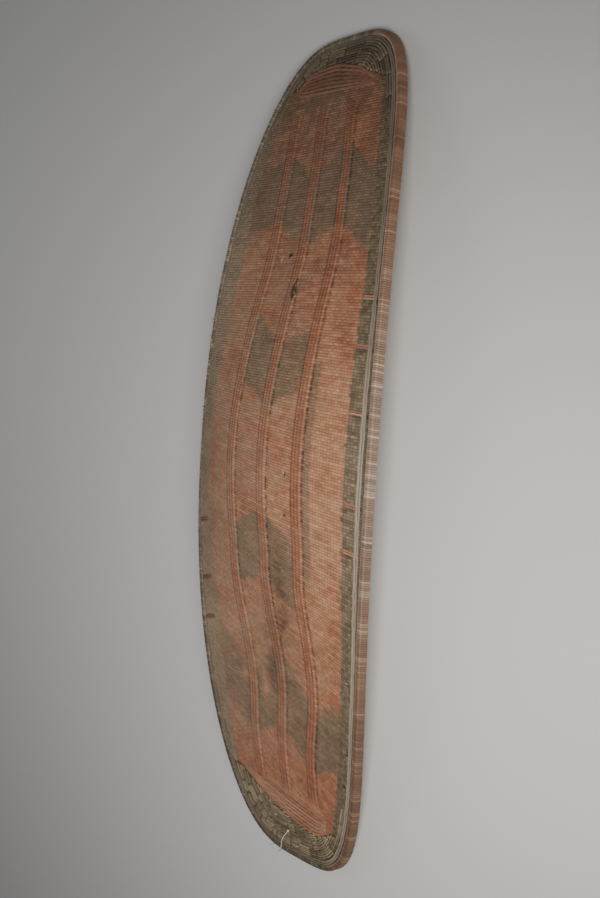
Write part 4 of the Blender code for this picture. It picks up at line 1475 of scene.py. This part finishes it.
def build_rim_cane():
    material, tree, shader, lay, place = start_material("bound rim cane")
    turn = add_node(tree, "ShaderNodeSeparateXYZ", {0: lay}).outputs["Y"]
    along = add_node(tree, "ShaderNodeSeparateXYZ", {0: place}).outputs["Y"]
    orange, seam = attribute(tree, "orange"), attribute(tree, "seam")
    tone = random_tone(tree, 0.0, calculate(tree, "FLOOR", turn))
    streaks = use_fibres(tree, stretch(tree, lay, 14.0, 1.0, 1.0))[0]
    slow = remap(tree, noise(tree, stretch(tree, lay, 0.0, 0.12, 0.0), 1.0, 3.0), 0.33, 0.67)
    mixed = total(tree, (tone, 0.55), (slow, 0.55))
    colour = blend(tree, mixed, RIM_ROSE, RIM_TAN)
    colour = blend(tree, times(tree, orange, 0.8), colour, blend(tree, mixed, RIM_RUST, RIM_ORANGE))
    pale = times(tree, remap(tree, mixed, *PALE_AND_HIGHLIT_TURNS, 0.0, 0.6), remap(tree, orange, 0.0, 1.0, 1.0, 0.3))
    # Painted light: the inner corner beside the weave is painted pale
    pale = calculate(tree, "MAXIMUM", pale, remap(tree, seam, 0.0, -1.0, 0.0, 0.7))
    colour = blend(tree, pale, colour, RIM_PALE_AND_LIT)
    colour = blend(tree, attribute(tree, "grey"), colour, blend(tree, mixed, RIM_GREY_DARK, RIM_GREY_LIGHT))
    crest = crest_share(tree, turn, 0.25)
    low_tone, high_tone, highlight = HIGHLIT_TURNS
    # Painted shade in the grooves between turns, in the seams between canes and towards the lower end, and
    # painted highlights on single turns, with the fibres' streaks
    shade = times(tree, remap(tree, crest, 0.0, 0.8, 0.44, 1.0), remap(tree, streaks, 0.3, 0.7, 0.82, 1.12),
                  remap(tree, along, *RIM_LOWER_SHADE), remap(tree, seam, 0.3, 1.0, 1.0, 0.84),
                  remap(tree, tone, low_tone, high_tone, 1.0, highlight))
    colour = use_grime_and_shade(tree, darken(tree, colour, shade), place, 0.4)[0]
    rough = remap(tree, crest, 0.0, 1.0, 0.75, 0.46)
    finish_material(tree, shader, colour, rough, bump(tree, streaks, 0.0002, 0.6))
    return material


make_rim(build_rim_cane())

# %% [markdown]
# ## Split cane
#
# The end strands, the edge canes, the bars on the border and the lashings are all lengths of split cane.
# They differ only in dye and age, so one function makes their materials. Each length has a tone of its
# own, and it can be shaded where it dips under another.

# %% Split cane: material
def build_cane(name, dark, light, amount=0.4, roughness=0.58):
    material, tree, shader, lay, place = start_material(name)
    streaks, slow = use_fibres(tree, stretch(tree, lay, 160.0, 5.0, 1.0))
    tone = total(tree, (attribute(tree, "tint"), 0.8), (slow, 0.8), -0.32)
    colour = darken(tree, blend(tree, tone, dark, light), remap(tree, streaks, 0.3, 0.7, 0.78, 1.12))
    # The shade value, where a cane dips or its ends sink, is painted shade, and goes in with the dirt
    colour, dirt = use_grime_and_shade(tree, colour, place, amount, attribute(tree, "shade"))
    rough = remap(tree, dirt, 0.0, 1.0, roughness, 0.85)
    finish_material(tree, shader, colour, rough, bump(tree, streaks, 0.0003, 0.7))
    return material


olive_cane = build_cane("olive grey cane", (0.090, 0.070, 0.043), (0.40, 0.315, 0.200))
grey_cane = build_cane("grey edge cane", (0.17, 0.135, 0.095), (0.42, 0.345, 0.265), roughness=0.42)
red_cane = build_cane("red dyed cane", (0.17, 0.078, 0.046), (0.53, 0.285, 0.175))
pale_cane = build_cane("bare cane", (0.32, 0.25, 0.14), (0.60, 0.49, 0.31), 0.25)

# %% [markdown]
# ## Edge canes and end strands
#
# Two thin canes run all the way round beside the rim. At each end of the shield, flat olive strands lie
# side by side, follow the blunt end from corner to corner, and duck under the weave together, which
# leaves dark slits. Edge canes and end strands are swept along curves a set distance inside the outline.
# Inside them come a few coarse red strands, the first along the end of the field and the last straight
# across.

# %% Edge canes
EDGE_CANES = ((0.0116, 0.0031), (0.0151, 0.0035))  # distance inside the outline, and width
CANE_THICKNESS = 0.0016
EDGE_LIFT = 0.0005
EDGE_SINK = 0.0010  # how much deeper they lie in the weave along the left side and the ends
EDGE_WAVE, EDGE_WAVELENGTH = 0.0003, 0.021  # how far they rise and fall, and over what length
# Their tone, how much paler they are on the right side, and how much paler still the inner one is there
EDGE_TINT = (0.12, 0.42, 0.22)
WANDER = 0.0005  # how far a cane strays sideways
WANDER_RATES = (37, 83, 151)  # three waves that make it stray, in radians to a metre


def inner_path(inset, first, last, step, wander=0.0, seed=0):
    """Places a set distance inside the outline, between two distances travelled round it."""
    count = max(4, round((last - first) / step))
    travelled = np.linspace(first, last, count + 1)
    places, normals = outline.at(travelled)
    waves = np.random.default_rng(seed).uniform(0, 2 * math.pi, 3)
    stray = sum(np.sin(travelled * rate + wave) for rate, wave in zip(WANDER_RATES, waves)) / 3
    return places - normals * (inset + wander * stray)[:, None], travelled


def make_edge_canes():
    bundle = Bundle()
    for number, (inset, width) in enumerate(EDGE_CANES):
        places, travelled = inner_path(inset, 0.0, outline.length, 0.0045, WANDER, seed=number)
        side = smooth_step(outline.at(travelled)[1][:, 0] * 2 - 0.4)  # 1 along the right side
        wave = EDGE_WAVE * np.sin(travelled * 2 * math.pi / EDGE_WAVELENGTH + number * 2)
        lift = EDGE_LIFT + wave - EDGE_SINK * (1 - side)
        places, lift, side = places[:-1], lift[:-1], side[:-1]
        paler = 0.25 + 0.75 * smooth_step((0.25 - places[:, 1]) / 0.3)  # most in the middle and below it
        tone, right_tone, inner_tone = EDGE_TINT
        add_on_front(bundle, places, lift, width, CANE_THICKNESS,
                     tint=tone + (right_tone + inner_tone * number) * side * paler, closed=True)
    bundle.finish("edge_canes", grey_cane)


make_edge_canes()

# %% End strands
STRAND_FIRST = 0.0199  # distance of the first end strand inside the outline
STRAND_PITCH = (0.0043, 0.0035)  # distance between two strands, at the upper and at the lower end
STRAND_COUNT = 20
STRAND_SPARE = 0.0004  # gap between two strands
STRAND_THICKNESS = 0.0016
STRAND_LIFT = 0.0005
STRAND_GROUP = 4  # strands that dip together
STRAND_TURN = 0.26  # how far round from an end's middle the strands are looked for
OUTER_STRANDS = 2  # strands that go on round the corners beside the rim
OUTER_REACH = 0.07  # how far they go on
TIE_EVERY = (0.040, 0.026)  # distance between dips, at the upper and at the lower end
DIP_DEPTH = 0.0026
DIP_SHARE = (1.0, 0.62)  # how deep the dips go, at the upper and at the lower end, as a share of that
DIP_LENGTH = (0.0020, 0.0034)  # length of a dip, at the upper and at the lower end
BLOCK_TONE = (0.15, 0.35)  # how differently the blocks between two dips are coloured, at the two ends
TUCK = 0.010  # length over which a strand's end sinks into the weave
STRAND_UNEVEN = 0.0004
STRAND_TONE = (0.35, 0.6)  # how pale the strands are, at the upper and at the lower end
STRAND_SHADE = 0.5  # how dark a strand gets where it dips


def end_middle(end):
    """The distance travelled round the outline at an end's middle: 1 is the upper end, -1 the lower."""
    return outline.length * (0.25 if end > 0 else 0.75)


def strand_runs(middle, inset):
    """The stretches, in distance travelled, where a curve this far inside runs in the border."""
    travelled = middle + np.arange(-STRAND_TURN, STRAND_TURN, 0.002)
    places, normals = outline.at(travelled)
    places = places - normals * inset
    inside = np.concatenate([[False], past_field_end(places[:, 0], places[:, 1]) > 0, [False]])
    turns = np.flatnonzero(inside[1:] != inside[:-1])
    runs = [(travelled[first], travelled[last - 1]) for first, last in zip(turns[::2], turns[1::2])]
    return [(first, last) for first, last in runs if last - first > 3 * TUCK]


def strand_lift(travelled, dips, dip_length, dip_share, first, last):
    """How high a strand lies, and how sunk it is: down at each dip, and into the weave at its ends."""
    sunk = dip_share * sum(np.exp(-((travelled - dip) / dip_length) ** 2) for dip in dips)
    tucked = smooth_step(1 - (travelled - first) / TUCK) + smooth_step(1 - (last - travelled) / TUCK)
    sunk = np.minimum(sunk + tucked, 1.0)
    return STRAND_LIFT - DIP_DEPTH * sunk, sunk


def add_end_strands(bundle, end, rng):
    middle = end_middle(end)
    sizes = (TIE_EVERY, STRAND_PITCH, DIP_LENGTH, DIP_SHARE, BLOCK_TONE, STRAND_TONE)
    tie_every, pitch, dip_length, dip_share, block_tone, tone = (both[0 if end > 0 else 1] for both in sizes)
    count = round(2 * STRAND_TURN / tie_every)
    for number in range(STRAND_COUNT):
        if number % STRAND_GROUP == 0:
            dips = np.arange(count) + 0.5 * (number // STRAND_GROUP) + 0.3
            dips = middle - STRAND_TURN + tie_every * dips + tie_every * rng.uniform(-0.25, 0.25, count)
            blocks = rng.uniform(-block_tone, block_tone, count + 1)
        inset = STRAND_FIRST + pitch * number
        own = dips + rng.uniform(-0.0012, 0.0012, count)
        tones = np.clip(tone + rng.uniform(-0.2, 0.2) + blocks + rng.uniform(-0.2, 0.2, count + 1), 0, 1)
        rise = rng.uniform(-STRAND_UNEVEN, STRAND_UNEVEN)
        further = OUTER_REACH * (number < OUTER_STRANDS)
        for first, last in strand_runs(middle, inset):
            start, stop = first - further, last + further
            places, travelled = inner_path(inset, start, stop, 0.002, WANDER, 100 + number)
            lift, sunk = strand_lift(travelled, own, dip_length, dip_share, start, stop)
            add_on_front(bundle, places, lift + rise * (1 - sunk), pitch - STRAND_SPARE, STRAND_THICKNESS,
                         tint=tones[np.searchsorted(own, travelled)], shade=STRAND_SHADE * sunk)


def make_end_strands(end, name):
    bundle = Bundle()
    add_end_strands(bundle, end, np.random.default_rng(60 + end))
    bundle.finish(name, olive_cane)


make_end_strands(1, "upper_end_strands")
make_end_strands(-1, "lower_end_strands")

# %% Coarse red strands inside the end strands
RED_STRANDS = 7
RED_WIDTH = 0.0045
RED_STEP = 0.0025
RED_FIRST = 0.0024  # distance of the first strand inside the field's end
RED_TRIM = 0.006  # the least distance between the strands' ends and the borders along the sides
RED_REACH = 1.95  # how far towards the borders a strand is drawn, in the line coordinate
RED_PLACES = 81  # places found along each
RED_WAVE, RED_WAVELENGTH = 0.0003, 0.017  # how far a strand rises and falls, and over what length
RED_TINTS = {1: (0.1, 0.5), -1: (0.4, 1.0)}  # range of tones at the upper and at the lower end


def red_line(end, share):
    """Places across the field's end: share 0 follows its curve, share 1 runs straight from side to side."""
    line = np.linspace(-RED_REACH, RED_REACH, RED_PLACES)
    curve = np.interp(line, LINES, FIELD_ENDS[0 if end > 0 else 1])
    for _round in range(3):
        curve = np.convolve(np.pad(curve, 3, mode="edge"), np.ones(7) / 7, mode="valid")
    chord = np.interp(line, (line[0], line[-1]), (curve[0], curve[-1])) - end * RED_CHORD
    y = curve + (chord - curve) * share - end * RED_FIRST
    across = np.linspace(-0.15, 0.15, 301)  # every millimetre of the field's width
    x = [np.interp(value, line_coordinate(across, np.full_like(across, height)), across)
         for value, height in zip(line, y)]
    return even_steps(np.column_stack([x, y]), RED_STEP)


def make_red_strands():
    bundle = Bundle()
    rng = np.random.default_rng(71)
    for end in (1, -1):
        for number in range(RED_STRANDS):
            places = red_line(end, number / (RED_STRANDS - 1))
            trim = round(RED_TRIM / RED_STEP) + int(rng.integers(0, 6))
            places = places[trim:len(places) - trim]
            travelled = np.arange(len(places)) * RED_STEP
            lift, sunk = strand_lift(travelled, [], RED_STEP, 1.0, 0.0, travelled[-1])
            lift = lift + RED_WAVE * np.sin(travelled * 2 * math.pi / RED_WAVELENGTH + number * math.pi)
            tint = rng.uniform(*RED_TINTS[end])
            add_on_front(bundle, places, lift, RED_WIDTH, STRAND_THICKNESS, tint=tint,
                         shade=STRAND_SHADE * sunk)
    bundle.finish("coarse_red_strands", red_cane)


make_red_strands()

# %% [markdown]
# ### Bars across the side borders
#
# In some places two short flat canes cross a side border from the field to the rim, where the border was
# mended or tied. On the right they lie beside the gaps with painted shadow listed above and follow the
# slope of the rows, and on the left they slope the other way.

# %% Border bars
BAR_FROM, BAR_TO = 0.038, 0.0115  # distances inside the outline between which a bar runs
BAR_WIDTH = 0.0029
BAR_THICKNESS = 0.0014
BAR_SPACING = 0.0034
BAR_LIFT = 0.0008
BAR_SINK = 0.0016  # how much lower its two ends lie
BAR_END = 0.2  # share of its length over which an end sinks
BAR_OFFSET = 0.004  # distance from the dark gap to the first bar beside it
LEFT_BAR_SLOPE = -0.7  # the bars on the left slope the other way than the rows
# For each place of a pair of bars: how pale its two canes are, from 0 to 1
RIGHT_BARS = tuple(zip(BAR_PLACES, ((1.0, 0.7), (0.45, 0.6), (0.9, 0.2), (0.3, 0.4), (0.7, 0.55))))
LEFT_BARS = (
    ((-0.1628, -0.1223), (0.0, 0.1)),
    ((-0.1721, -0.2130), (0.1, 0.0)),
    ((-0.1598, -0.2755), (0.05, 0.0)),
)


def add_bar(bundle, side, y, tint):
    slope = row_slope(y) * (1.0 if side > 0 else LEFT_BAR_SLOPE)
    share = np.linspace(0, 1, 12)
    x = side * (half_width(y) - BAR_FROM + (BAR_FROM - BAR_TO) * share)
    places = np.column_stack([x, y + slope * (x - x[0])])
    ends = smooth_step(1 - share / BAR_END) + smooth_step(1 - (1 - share) / BAR_END)
    add_on_front(bundle, places, BAR_LIFT - BAR_SINK * ends, BAR_WIDTH, BAR_THICKNESS, tint=tint,
                 shade=0.6 * ends)


def make_bars():
    bundle = Bundle()
    for (x, y), tints in RIGHT_BARS + LEFT_BARS:
        for number, tint in enumerate(tints):
            add_bar(bundle, math.copysign(1, x), y + BAR_OFFSET + BAR_SPACING * number, tint)
    bundle.finish("border_bars", red_cane)


make_bars()

# %% [markdown]
# ### Loose ends and frayed fibres
#
# Worn cane splits into fibres. A few stand in the slit, a frayed tie curls beside the middle rib, one
# pale strand lies loose across the lower left of the field, and the upper left edge is hairy. Each fibre
# is one thin cane with a tapered end, so the same helper sweeps them all.

# %% Loose fibres
FIBRE_WIDTH = 0.0008
TAPER = np.linspace(1.0, 0.35, 7)
# Tufts: place across and along, number of fibres, their length, how far they lean across, along and up
TUFTS = (
    (0.0090, 0.2290, 3, 0.008, 0.2, 1.0, 0.10),
    (0.0060, 0.2420, 2, 0.007, 1.0, 0.3, 0.15),
    (-0.0371, 0.2802, 8, 0.015, 0.5, 0.8, 0.45),
    (-0.0340, 0.2870, 3, 0.009, -0.6, 0.6, 0.35),
    (0.0523, -0.0272, 3, 0.009, 0.2, 1.0, 0.25),
    (0.0105, 0.2515, 2, 0.006, 0.6, 0.6, 0.35),
    (0.1576, -0.3072, 2, 0.007, -0.6, 0.8, 0.30),
    (0.1474, -0.4087, 2, 0.006, -0.6, 0.8, 0.30),
    (-0.1860, 0.1960, 12, 0.008, -0.10, 0.6, 0.90),
    (-0.1870, 0.1650, 9, 0.007, -0.10, -0.6, 0.90),
    (-0.1865, 0.1800, 8, 0.006, 0.60, 0.3, 0.60),
)
# The strand that lies loose: its width and thickness, and its route
BROKEN_CANE = (0.0015, 0.0010)
BROKEN_STRAND = ((-0.1173, -0.3427), (-0.1010, -0.3462), (-0.0860, -0.3448), (-0.0732, -0.3452))
FRAY_FROM, FRAY_TO = 1.02, 1.95  # stretch of the outline with frayed fibres, in quarters from the right side
FRAY_COUNT = 110
FRAY_INSET = 0.0075
FRAY_LEAN = (0.15, 0.35, 0.9)  # inward, along the edge, and up


def add_fibre(bundle, start, lean, length, curl, tint, width=FIBRE_WIDTH):
    share = np.linspace(0, 1, len(TAPER))[:, None]
    path = start + unit(lean) * length * share + curl * length * share ** 2
    bundle.add(path, (0.3, 0.2, 1.0), width, width * 0.7, tint=tint, sides=5, scale=TAPER)


def make_fibres():
    bundle = Bundle()
    rng = np.random.default_rng(91)
    for x, y, count, length, *lean in TUFTS:
        base = lay_on_front(np.array([[x, y]]), -0.0006)[0]
        for _fibre in range(count):
            start = base + rng.uniform(-0.0015, 0.0015, 3) * (1, 1, 0.1)
            own_lean = lean + rng.uniform(-0.3, 0.3, 3)
            own_length = length * rng.uniform(0.6, 1.1)
            curl = rng.uniform(-0.35, 0.35, 3) * (1, 1, 0.3)
            add_fibre(bundle, start, own_lean, own_length, curl, tint=rng.uniform(0.2, 0.8))
    strand = smooth_route([(*place, 0.0) for place in BROKEN_STRAND], 0.002)[:, :2]
    strand = lay_on_front(strand, np.linspace(0.0008, 0.0018, len(strand)))
    bundle.add(strand, (0, 0, 1), *BROKEN_CANE, tint=0.2, scale=np.linspace(1, 0.6, len(strand)))
    bundle.finish("loose_fibres", pale_cane)


def make_frays():
    """Short stiff fibres that stand up from the upper left edge."""
    bundle = Bundle()
    rng = np.random.default_rng(93)
    for travelled in rng.uniform(FRAY_FROM, FRAY_TO, FRAY_COUNT) * outline.length / 4:
        places, normals = outline.at(travelled)
        place = places - normals * FRAY_INSET
        along = np.array([-normals[1], normals[0]])
        inward, sideways, up = FRAY_LEAN
        lean = np.append(along * sideways * rng.uniform(-1, 1) - normals * inward, up)
        start = np.append(place, edge_height(place[1]) + 0.0005)
        length = rng.uniform(0.004, 0.0085)
        curl = rng.uniform(-0.4, 0.4, 3) * (1, 1, 0.2)
        tint = rng.uniform(0.0, 1.0)
        add_fibre(bundle, start, lean, length, curl, tint, width=rng.uniform(0.0010, 0.0020))
    bundle.finish("frayed_edge", olive_cane)


make_fibres()
make_frays()

# %% [markdown]
# ## The wooden grip
#
# The grip is hidden behind the shield. It is shown as the solid model has it: one piece of carved wood,
# with two flat feet against the back and a rounder bar between them for the hand. A square with rounded
# corners is drawn at one foot's end and then extruded, moved and resized station by station, as a carver
# follows marks along a stick.

# %% Grip: sizes
GRIP_LENGTH = 0.200
GRIP_BAR_HALF = 0.070  # where the bends from the bar to the feet end
GRIP_BEND = 0.030  # length of a bend
GRIP_TIP = 0.008  # length over which a foot's tip narrows, to this share of its width
GRIP_TIP_SHARE = 0.8
GRIP_WIDTH = 0.034
GRIP_FOOT_THICKNESS = 0.009
GRIP_BAR_WIDTH = 0.025
GRIP_BAR_THICKNESS = 0.019
GRIP_GAP = 0.032  # clear height for the fingers
GRIP_SEAT = 0.0006  # gap between a foot and the panel's back
GRIP_STATIONS = 41
GRIP_CORNER = 0.32  # size of the rounded corners, as a share of the section


def back_height(x, y):
    return front_height(x, y) - PANEL_THICKNESS


def grip_station(y):
    """The middle height of the grip's section at a place along it, its width and its thickness."""
    bar = float(smooth_step((GRIP_BAR_HALF - abs(y)) / GRIP_BEND))
    tip = float(smooth_step((GRIP_LENGTH / 2 - abs(y)) / GRIP_TIP))
    thickness = GRIP_FOOT_THICKNESS + (GRIP_BAR_THICKNESS - GRIP_FOOT_THICKNESS) * bar
    tapered = GRIP_TIP_SHARE + (1 - GRIP_TIP_SHARE) * tip
    width = (GRIP_WIDTH + (GRIP_BAR_WIDTH - GRIP_WIDTH) * bar) * tapered
    seat = float(back_height(GRIP_WIDTH / 2, y)) - GRIP_SEAT
    return seat - GRIP_GAP * bar - thickness / 2, width, thickness

# %% Grip: material
WOOD_DARK = (0.10, 0.055, 0.030)
WOOD_LIGHT = (0.27, 0.160, 0.090)
FACETS = 90.0  # flat cuts of the carving to a metre


def build_wood():
    material, tree, shader, _lay, place = start_material("carved wood")
    grain = use_fibres(tree, stretch(tree, place, 60.0, 1.2, 60.0), 2.0)[0]
    rings = noise(tree, stretch(tree, place, 160.0, 8.0, 160.0), 1.0, 4.0, 0.6)
    colour = blend(tree, remap(tree, rings, 0.35, 0.65), WOOD_DARK, WOOD_LIGHT)
    colour = darken(tree, colour, remap(tree, grain, 0.3, 0.7, 0.75, 1.15))
    colour, dirt = use_grime_and_shade(tree, colour, place, 0.45)
    rough = remap(tree, dirt, 0.0, 1.0, 0.42, 0.8)
    facets = add_node(tree, "ShaderNodeTexVoronoi", {"Vector": place, "Scale": FACETS}, feature="F1")
    cut = bump(tree, facets.outputs["Distance"], 0.0005, 0.35)
    finish_material(tree, shader, colour, rough, bump(tree, rings, 0.0003, 0.5, cut))
    return material

# %% Grip: shape
def make_grip(material):
    bpy.ops.object.select_all(action="DESELECT")
    bpy.ops.mesh.primitive_plane_add(size=1, location=(0, 0, 0))
    grip = bpy.context.object
    grip.name = "wooden_grip"
    bpy.ops.object.mode_set(mode="EDIT")
    bpy.ops.mesh.select_all(action="SELECT")
    bpy.ops.mesh.bevel(offset=GRIP_CORNER, segments=3, affect="VERTICES")
    bpy.ops.transform.rotate(value=math.pi / 2, orient_axis="X", center_override=(0, 0, 0))
    places = np.linspace(-GRIP_LENGTH / 2, GRIP_LENGTH / 2, GRIP_STATIONS)
    middle, width, thickness = grip_station(places[0])
    bpy.ops.transform.resize(value=(width, 1, thickness), center_override=(0, 0, 0))
    bpy.ops.transform.translate(value=(0, places[0], middle))
    for before, y in zip(places, places[1:]):
        new_middle, new_width, new_thickness = grip_station(y)
        move = {"value": (0, y - before, new_middle - middle)}
        bpy.ops.mesh.extrude_region_move(TRANSFORM_OT_translate=move)
        bpy.ops.transform.resize(value=(new_width / width, 1, new_thickness / thickness),
                                 center_override=(0, y, new_middle))
        middle, width, thickness = new_middle, new_width, new_thickness
    bpy.ops.mesh.select_all(action="SELECT")
    bpy.ops.mesh.normals_make_consistent(inside=False)
    bpy.ops.object.mode_set(mode="OBJECT")
    smooth = grip.modifiers.new("rounded", "SUBSURF")
    smooth.levels = 1
    bpy.ops.object.modifier_apply(modifier=smooth.name)
    bpy.ops.object.shade_smooth_by_angle(angle=math.radians(60))
    grip.data.materials.append(material)
    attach(grip, "root")
    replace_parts(grip, "hand_grip")
    print("grip:", len(grip.data.polygons), "faces")


make_grip(build_wood())

# %% [markdown]
# ### The lashings of the grip
#
# Each foot is held by four turns of split cane. They pass through the weave on one side, under the foot,
# and back through the weave on the other side. Each turn is swept along the same bent path, a little
# further along the grip.

# %% Lashings
LASH_PLACE = 0.0775  # distance of each lashing from the middle
LASH_OUT = 0.0181  # distance of the legs' middle from the grip's own middle
LASH_TOP = 0.0062  # heights of a turn's two ends and of its lowest stretch, from the panel's back
LASH_LOW = -0.0119
LASH_CORNER = 0.0022  # radius of its bends
LASH_TURNS = 4
LASH_PITCH = 0.0025
LASH_CANE = (0.0024, 0.0014)  # width and thickness of the split cane
LASH_SLANT = 0.00025  # how far a turn can slant along the grip


def lashing_path():
    """The bent path of one turn, across and up, from the top of one leg to the top of the other."""
    leg = [(-LASH_OUT, height) for height in np.linspace(LASH_TOP, LASH_LOW + LASH_CORNER, 8)]
    bend = [(LASH_CORNER * (1 - math.cos(turn)) - LASH_OUT, LASH_LOW + LASH_CORNER * (1 - math.sin(turn)))
            for turn in np.linspace(0, math.pi / 2, 6)[1:]]
    across = [(x, LASH_LOW) for x in np.linspace(bend[-1][0], 0, 6)[1:]]
    half = leg + bend + across
    return np.array(half + [(-x, z) for x, z in half[-2::-1]])


def make_lashing(y, name, node, material, seed):
    rng = np.random.default_rng(seed)
    slope = math.atan2(float(back_height(0, y + 0.005) - back_height(0, y - 0.005)), 0.010)
    along = np.array([0.0, math.cos(slope), math.sin(slope)])
    upward = np.array([0.0, -math.sin(slope), math.cos(slope)])
    base = np.array([0.0, y, float(back_height(0, y))])
    bundle = Bundle()
    section = lashing_path()
    for turn in range(LASH_TURNS):
        offset = LASH_PITCH * (turn - (LASH_TURNS - 1) / 2)
        slant = rng.uniform(-LASH_SLANT, LASH_SLANT) * section[:, :1] / LASH_OUT
        path = base + section[:, :1] * (1, 0, 0) + (offset + slant) * along + section[:, 1:] * upward
        bundle.add(path, np.cross(along, directions(path)), *LASH_CANE, tint=rng.uniform(0.2, 0.9), sides=8)
    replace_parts(bundle.finish(name, material), node)


lash_cane = build_cane("lashing cane", (0.17, 0.105, 0.055), (0.42, 0.30, 0.175))
make_lashing(LASH_PLACE, "upper_lashing", "grip_lashing_upper", lash_cane, 81)
make_lashing(-LASH_PLACE, "lower_lashing", "grip_lashing_lower", lash_cane, 82)

# %% [markdown]
# ## The stage
#
# The shield lies on a plain pale floor, under soft studio light: a large lamp on the side of the camera,
# a little below the middle, and a weak one from the other side. The light fades towards both ends, as it
# does in the photograph.

# %% Floor
FLOOR_PALE = (0.72, 0.71, 0.69, 1)


def make_floor():
    bpy.ops.mesh.primitive_plane_add(size=30)
    floor = bpy.context.object
    floor.name = "pale_floor"
    material = bpy.data.materials.new("pale floor")
    material.use_nodes = True
    shader = material.node_tree.nodes["Principled BSDF"]
    shader.inputs["Base Color"].default_value = FLOOR_PALE
    shader.inputs["Roughness"].default_value = 0.9
    floor.data.materials.append(material)


make_floor()

# %% Light
# Each lamp: name, place, the place that it looks at, size, power, colour, and the width of its beam in
# degrees. The key lamp's beam is narrow, so that the light fades towards both ends
LAMPS = (
    ("key_lamp", (1.25, -0.30, 1.15), (0.05, -0.14, 0.10), 0.7, 7.3, (1.0, 0.97, 0.93), 80),
    ("fill_lamp", (-1.6, 0.3, 1.6), (0.0, 0.0, 0.1), 1.5, 6, (0.95, 0.97, 1.0), 180),
)
SKY = (0.93, 0.95, 1.0, 1)
SKY_STRENGTH = 0.10


def add_lamp(name, place, target, size, power, colour, beam):
    bpy.ops.object.light_add(type="AREA", location=place)
    lamp = bpy.context.object
    lamp.name = name
    lamp.data.size = size
    lamp.data.spread = math.radians(beam)
    lamp.data.energy = power
    lamp.data.color = colour
    lamp.rotation_euler = (Vector(target) - Vector(place)).to_track_quat("-Z", "Y").to_euler()


def add_sky():
    world = bpy.data.worlds.new("studio")
    world.use_nodes = True
    background = world.node_tree.nodes["Background"]
    background.inputs["Color"].default_value = SKY
    background.inputs["Strength"].default_value = SKY_STRENGTH
    bpy.context.scene.world = world


for settings in LAMPS:
    add_lamp(*settings)
add_sky()
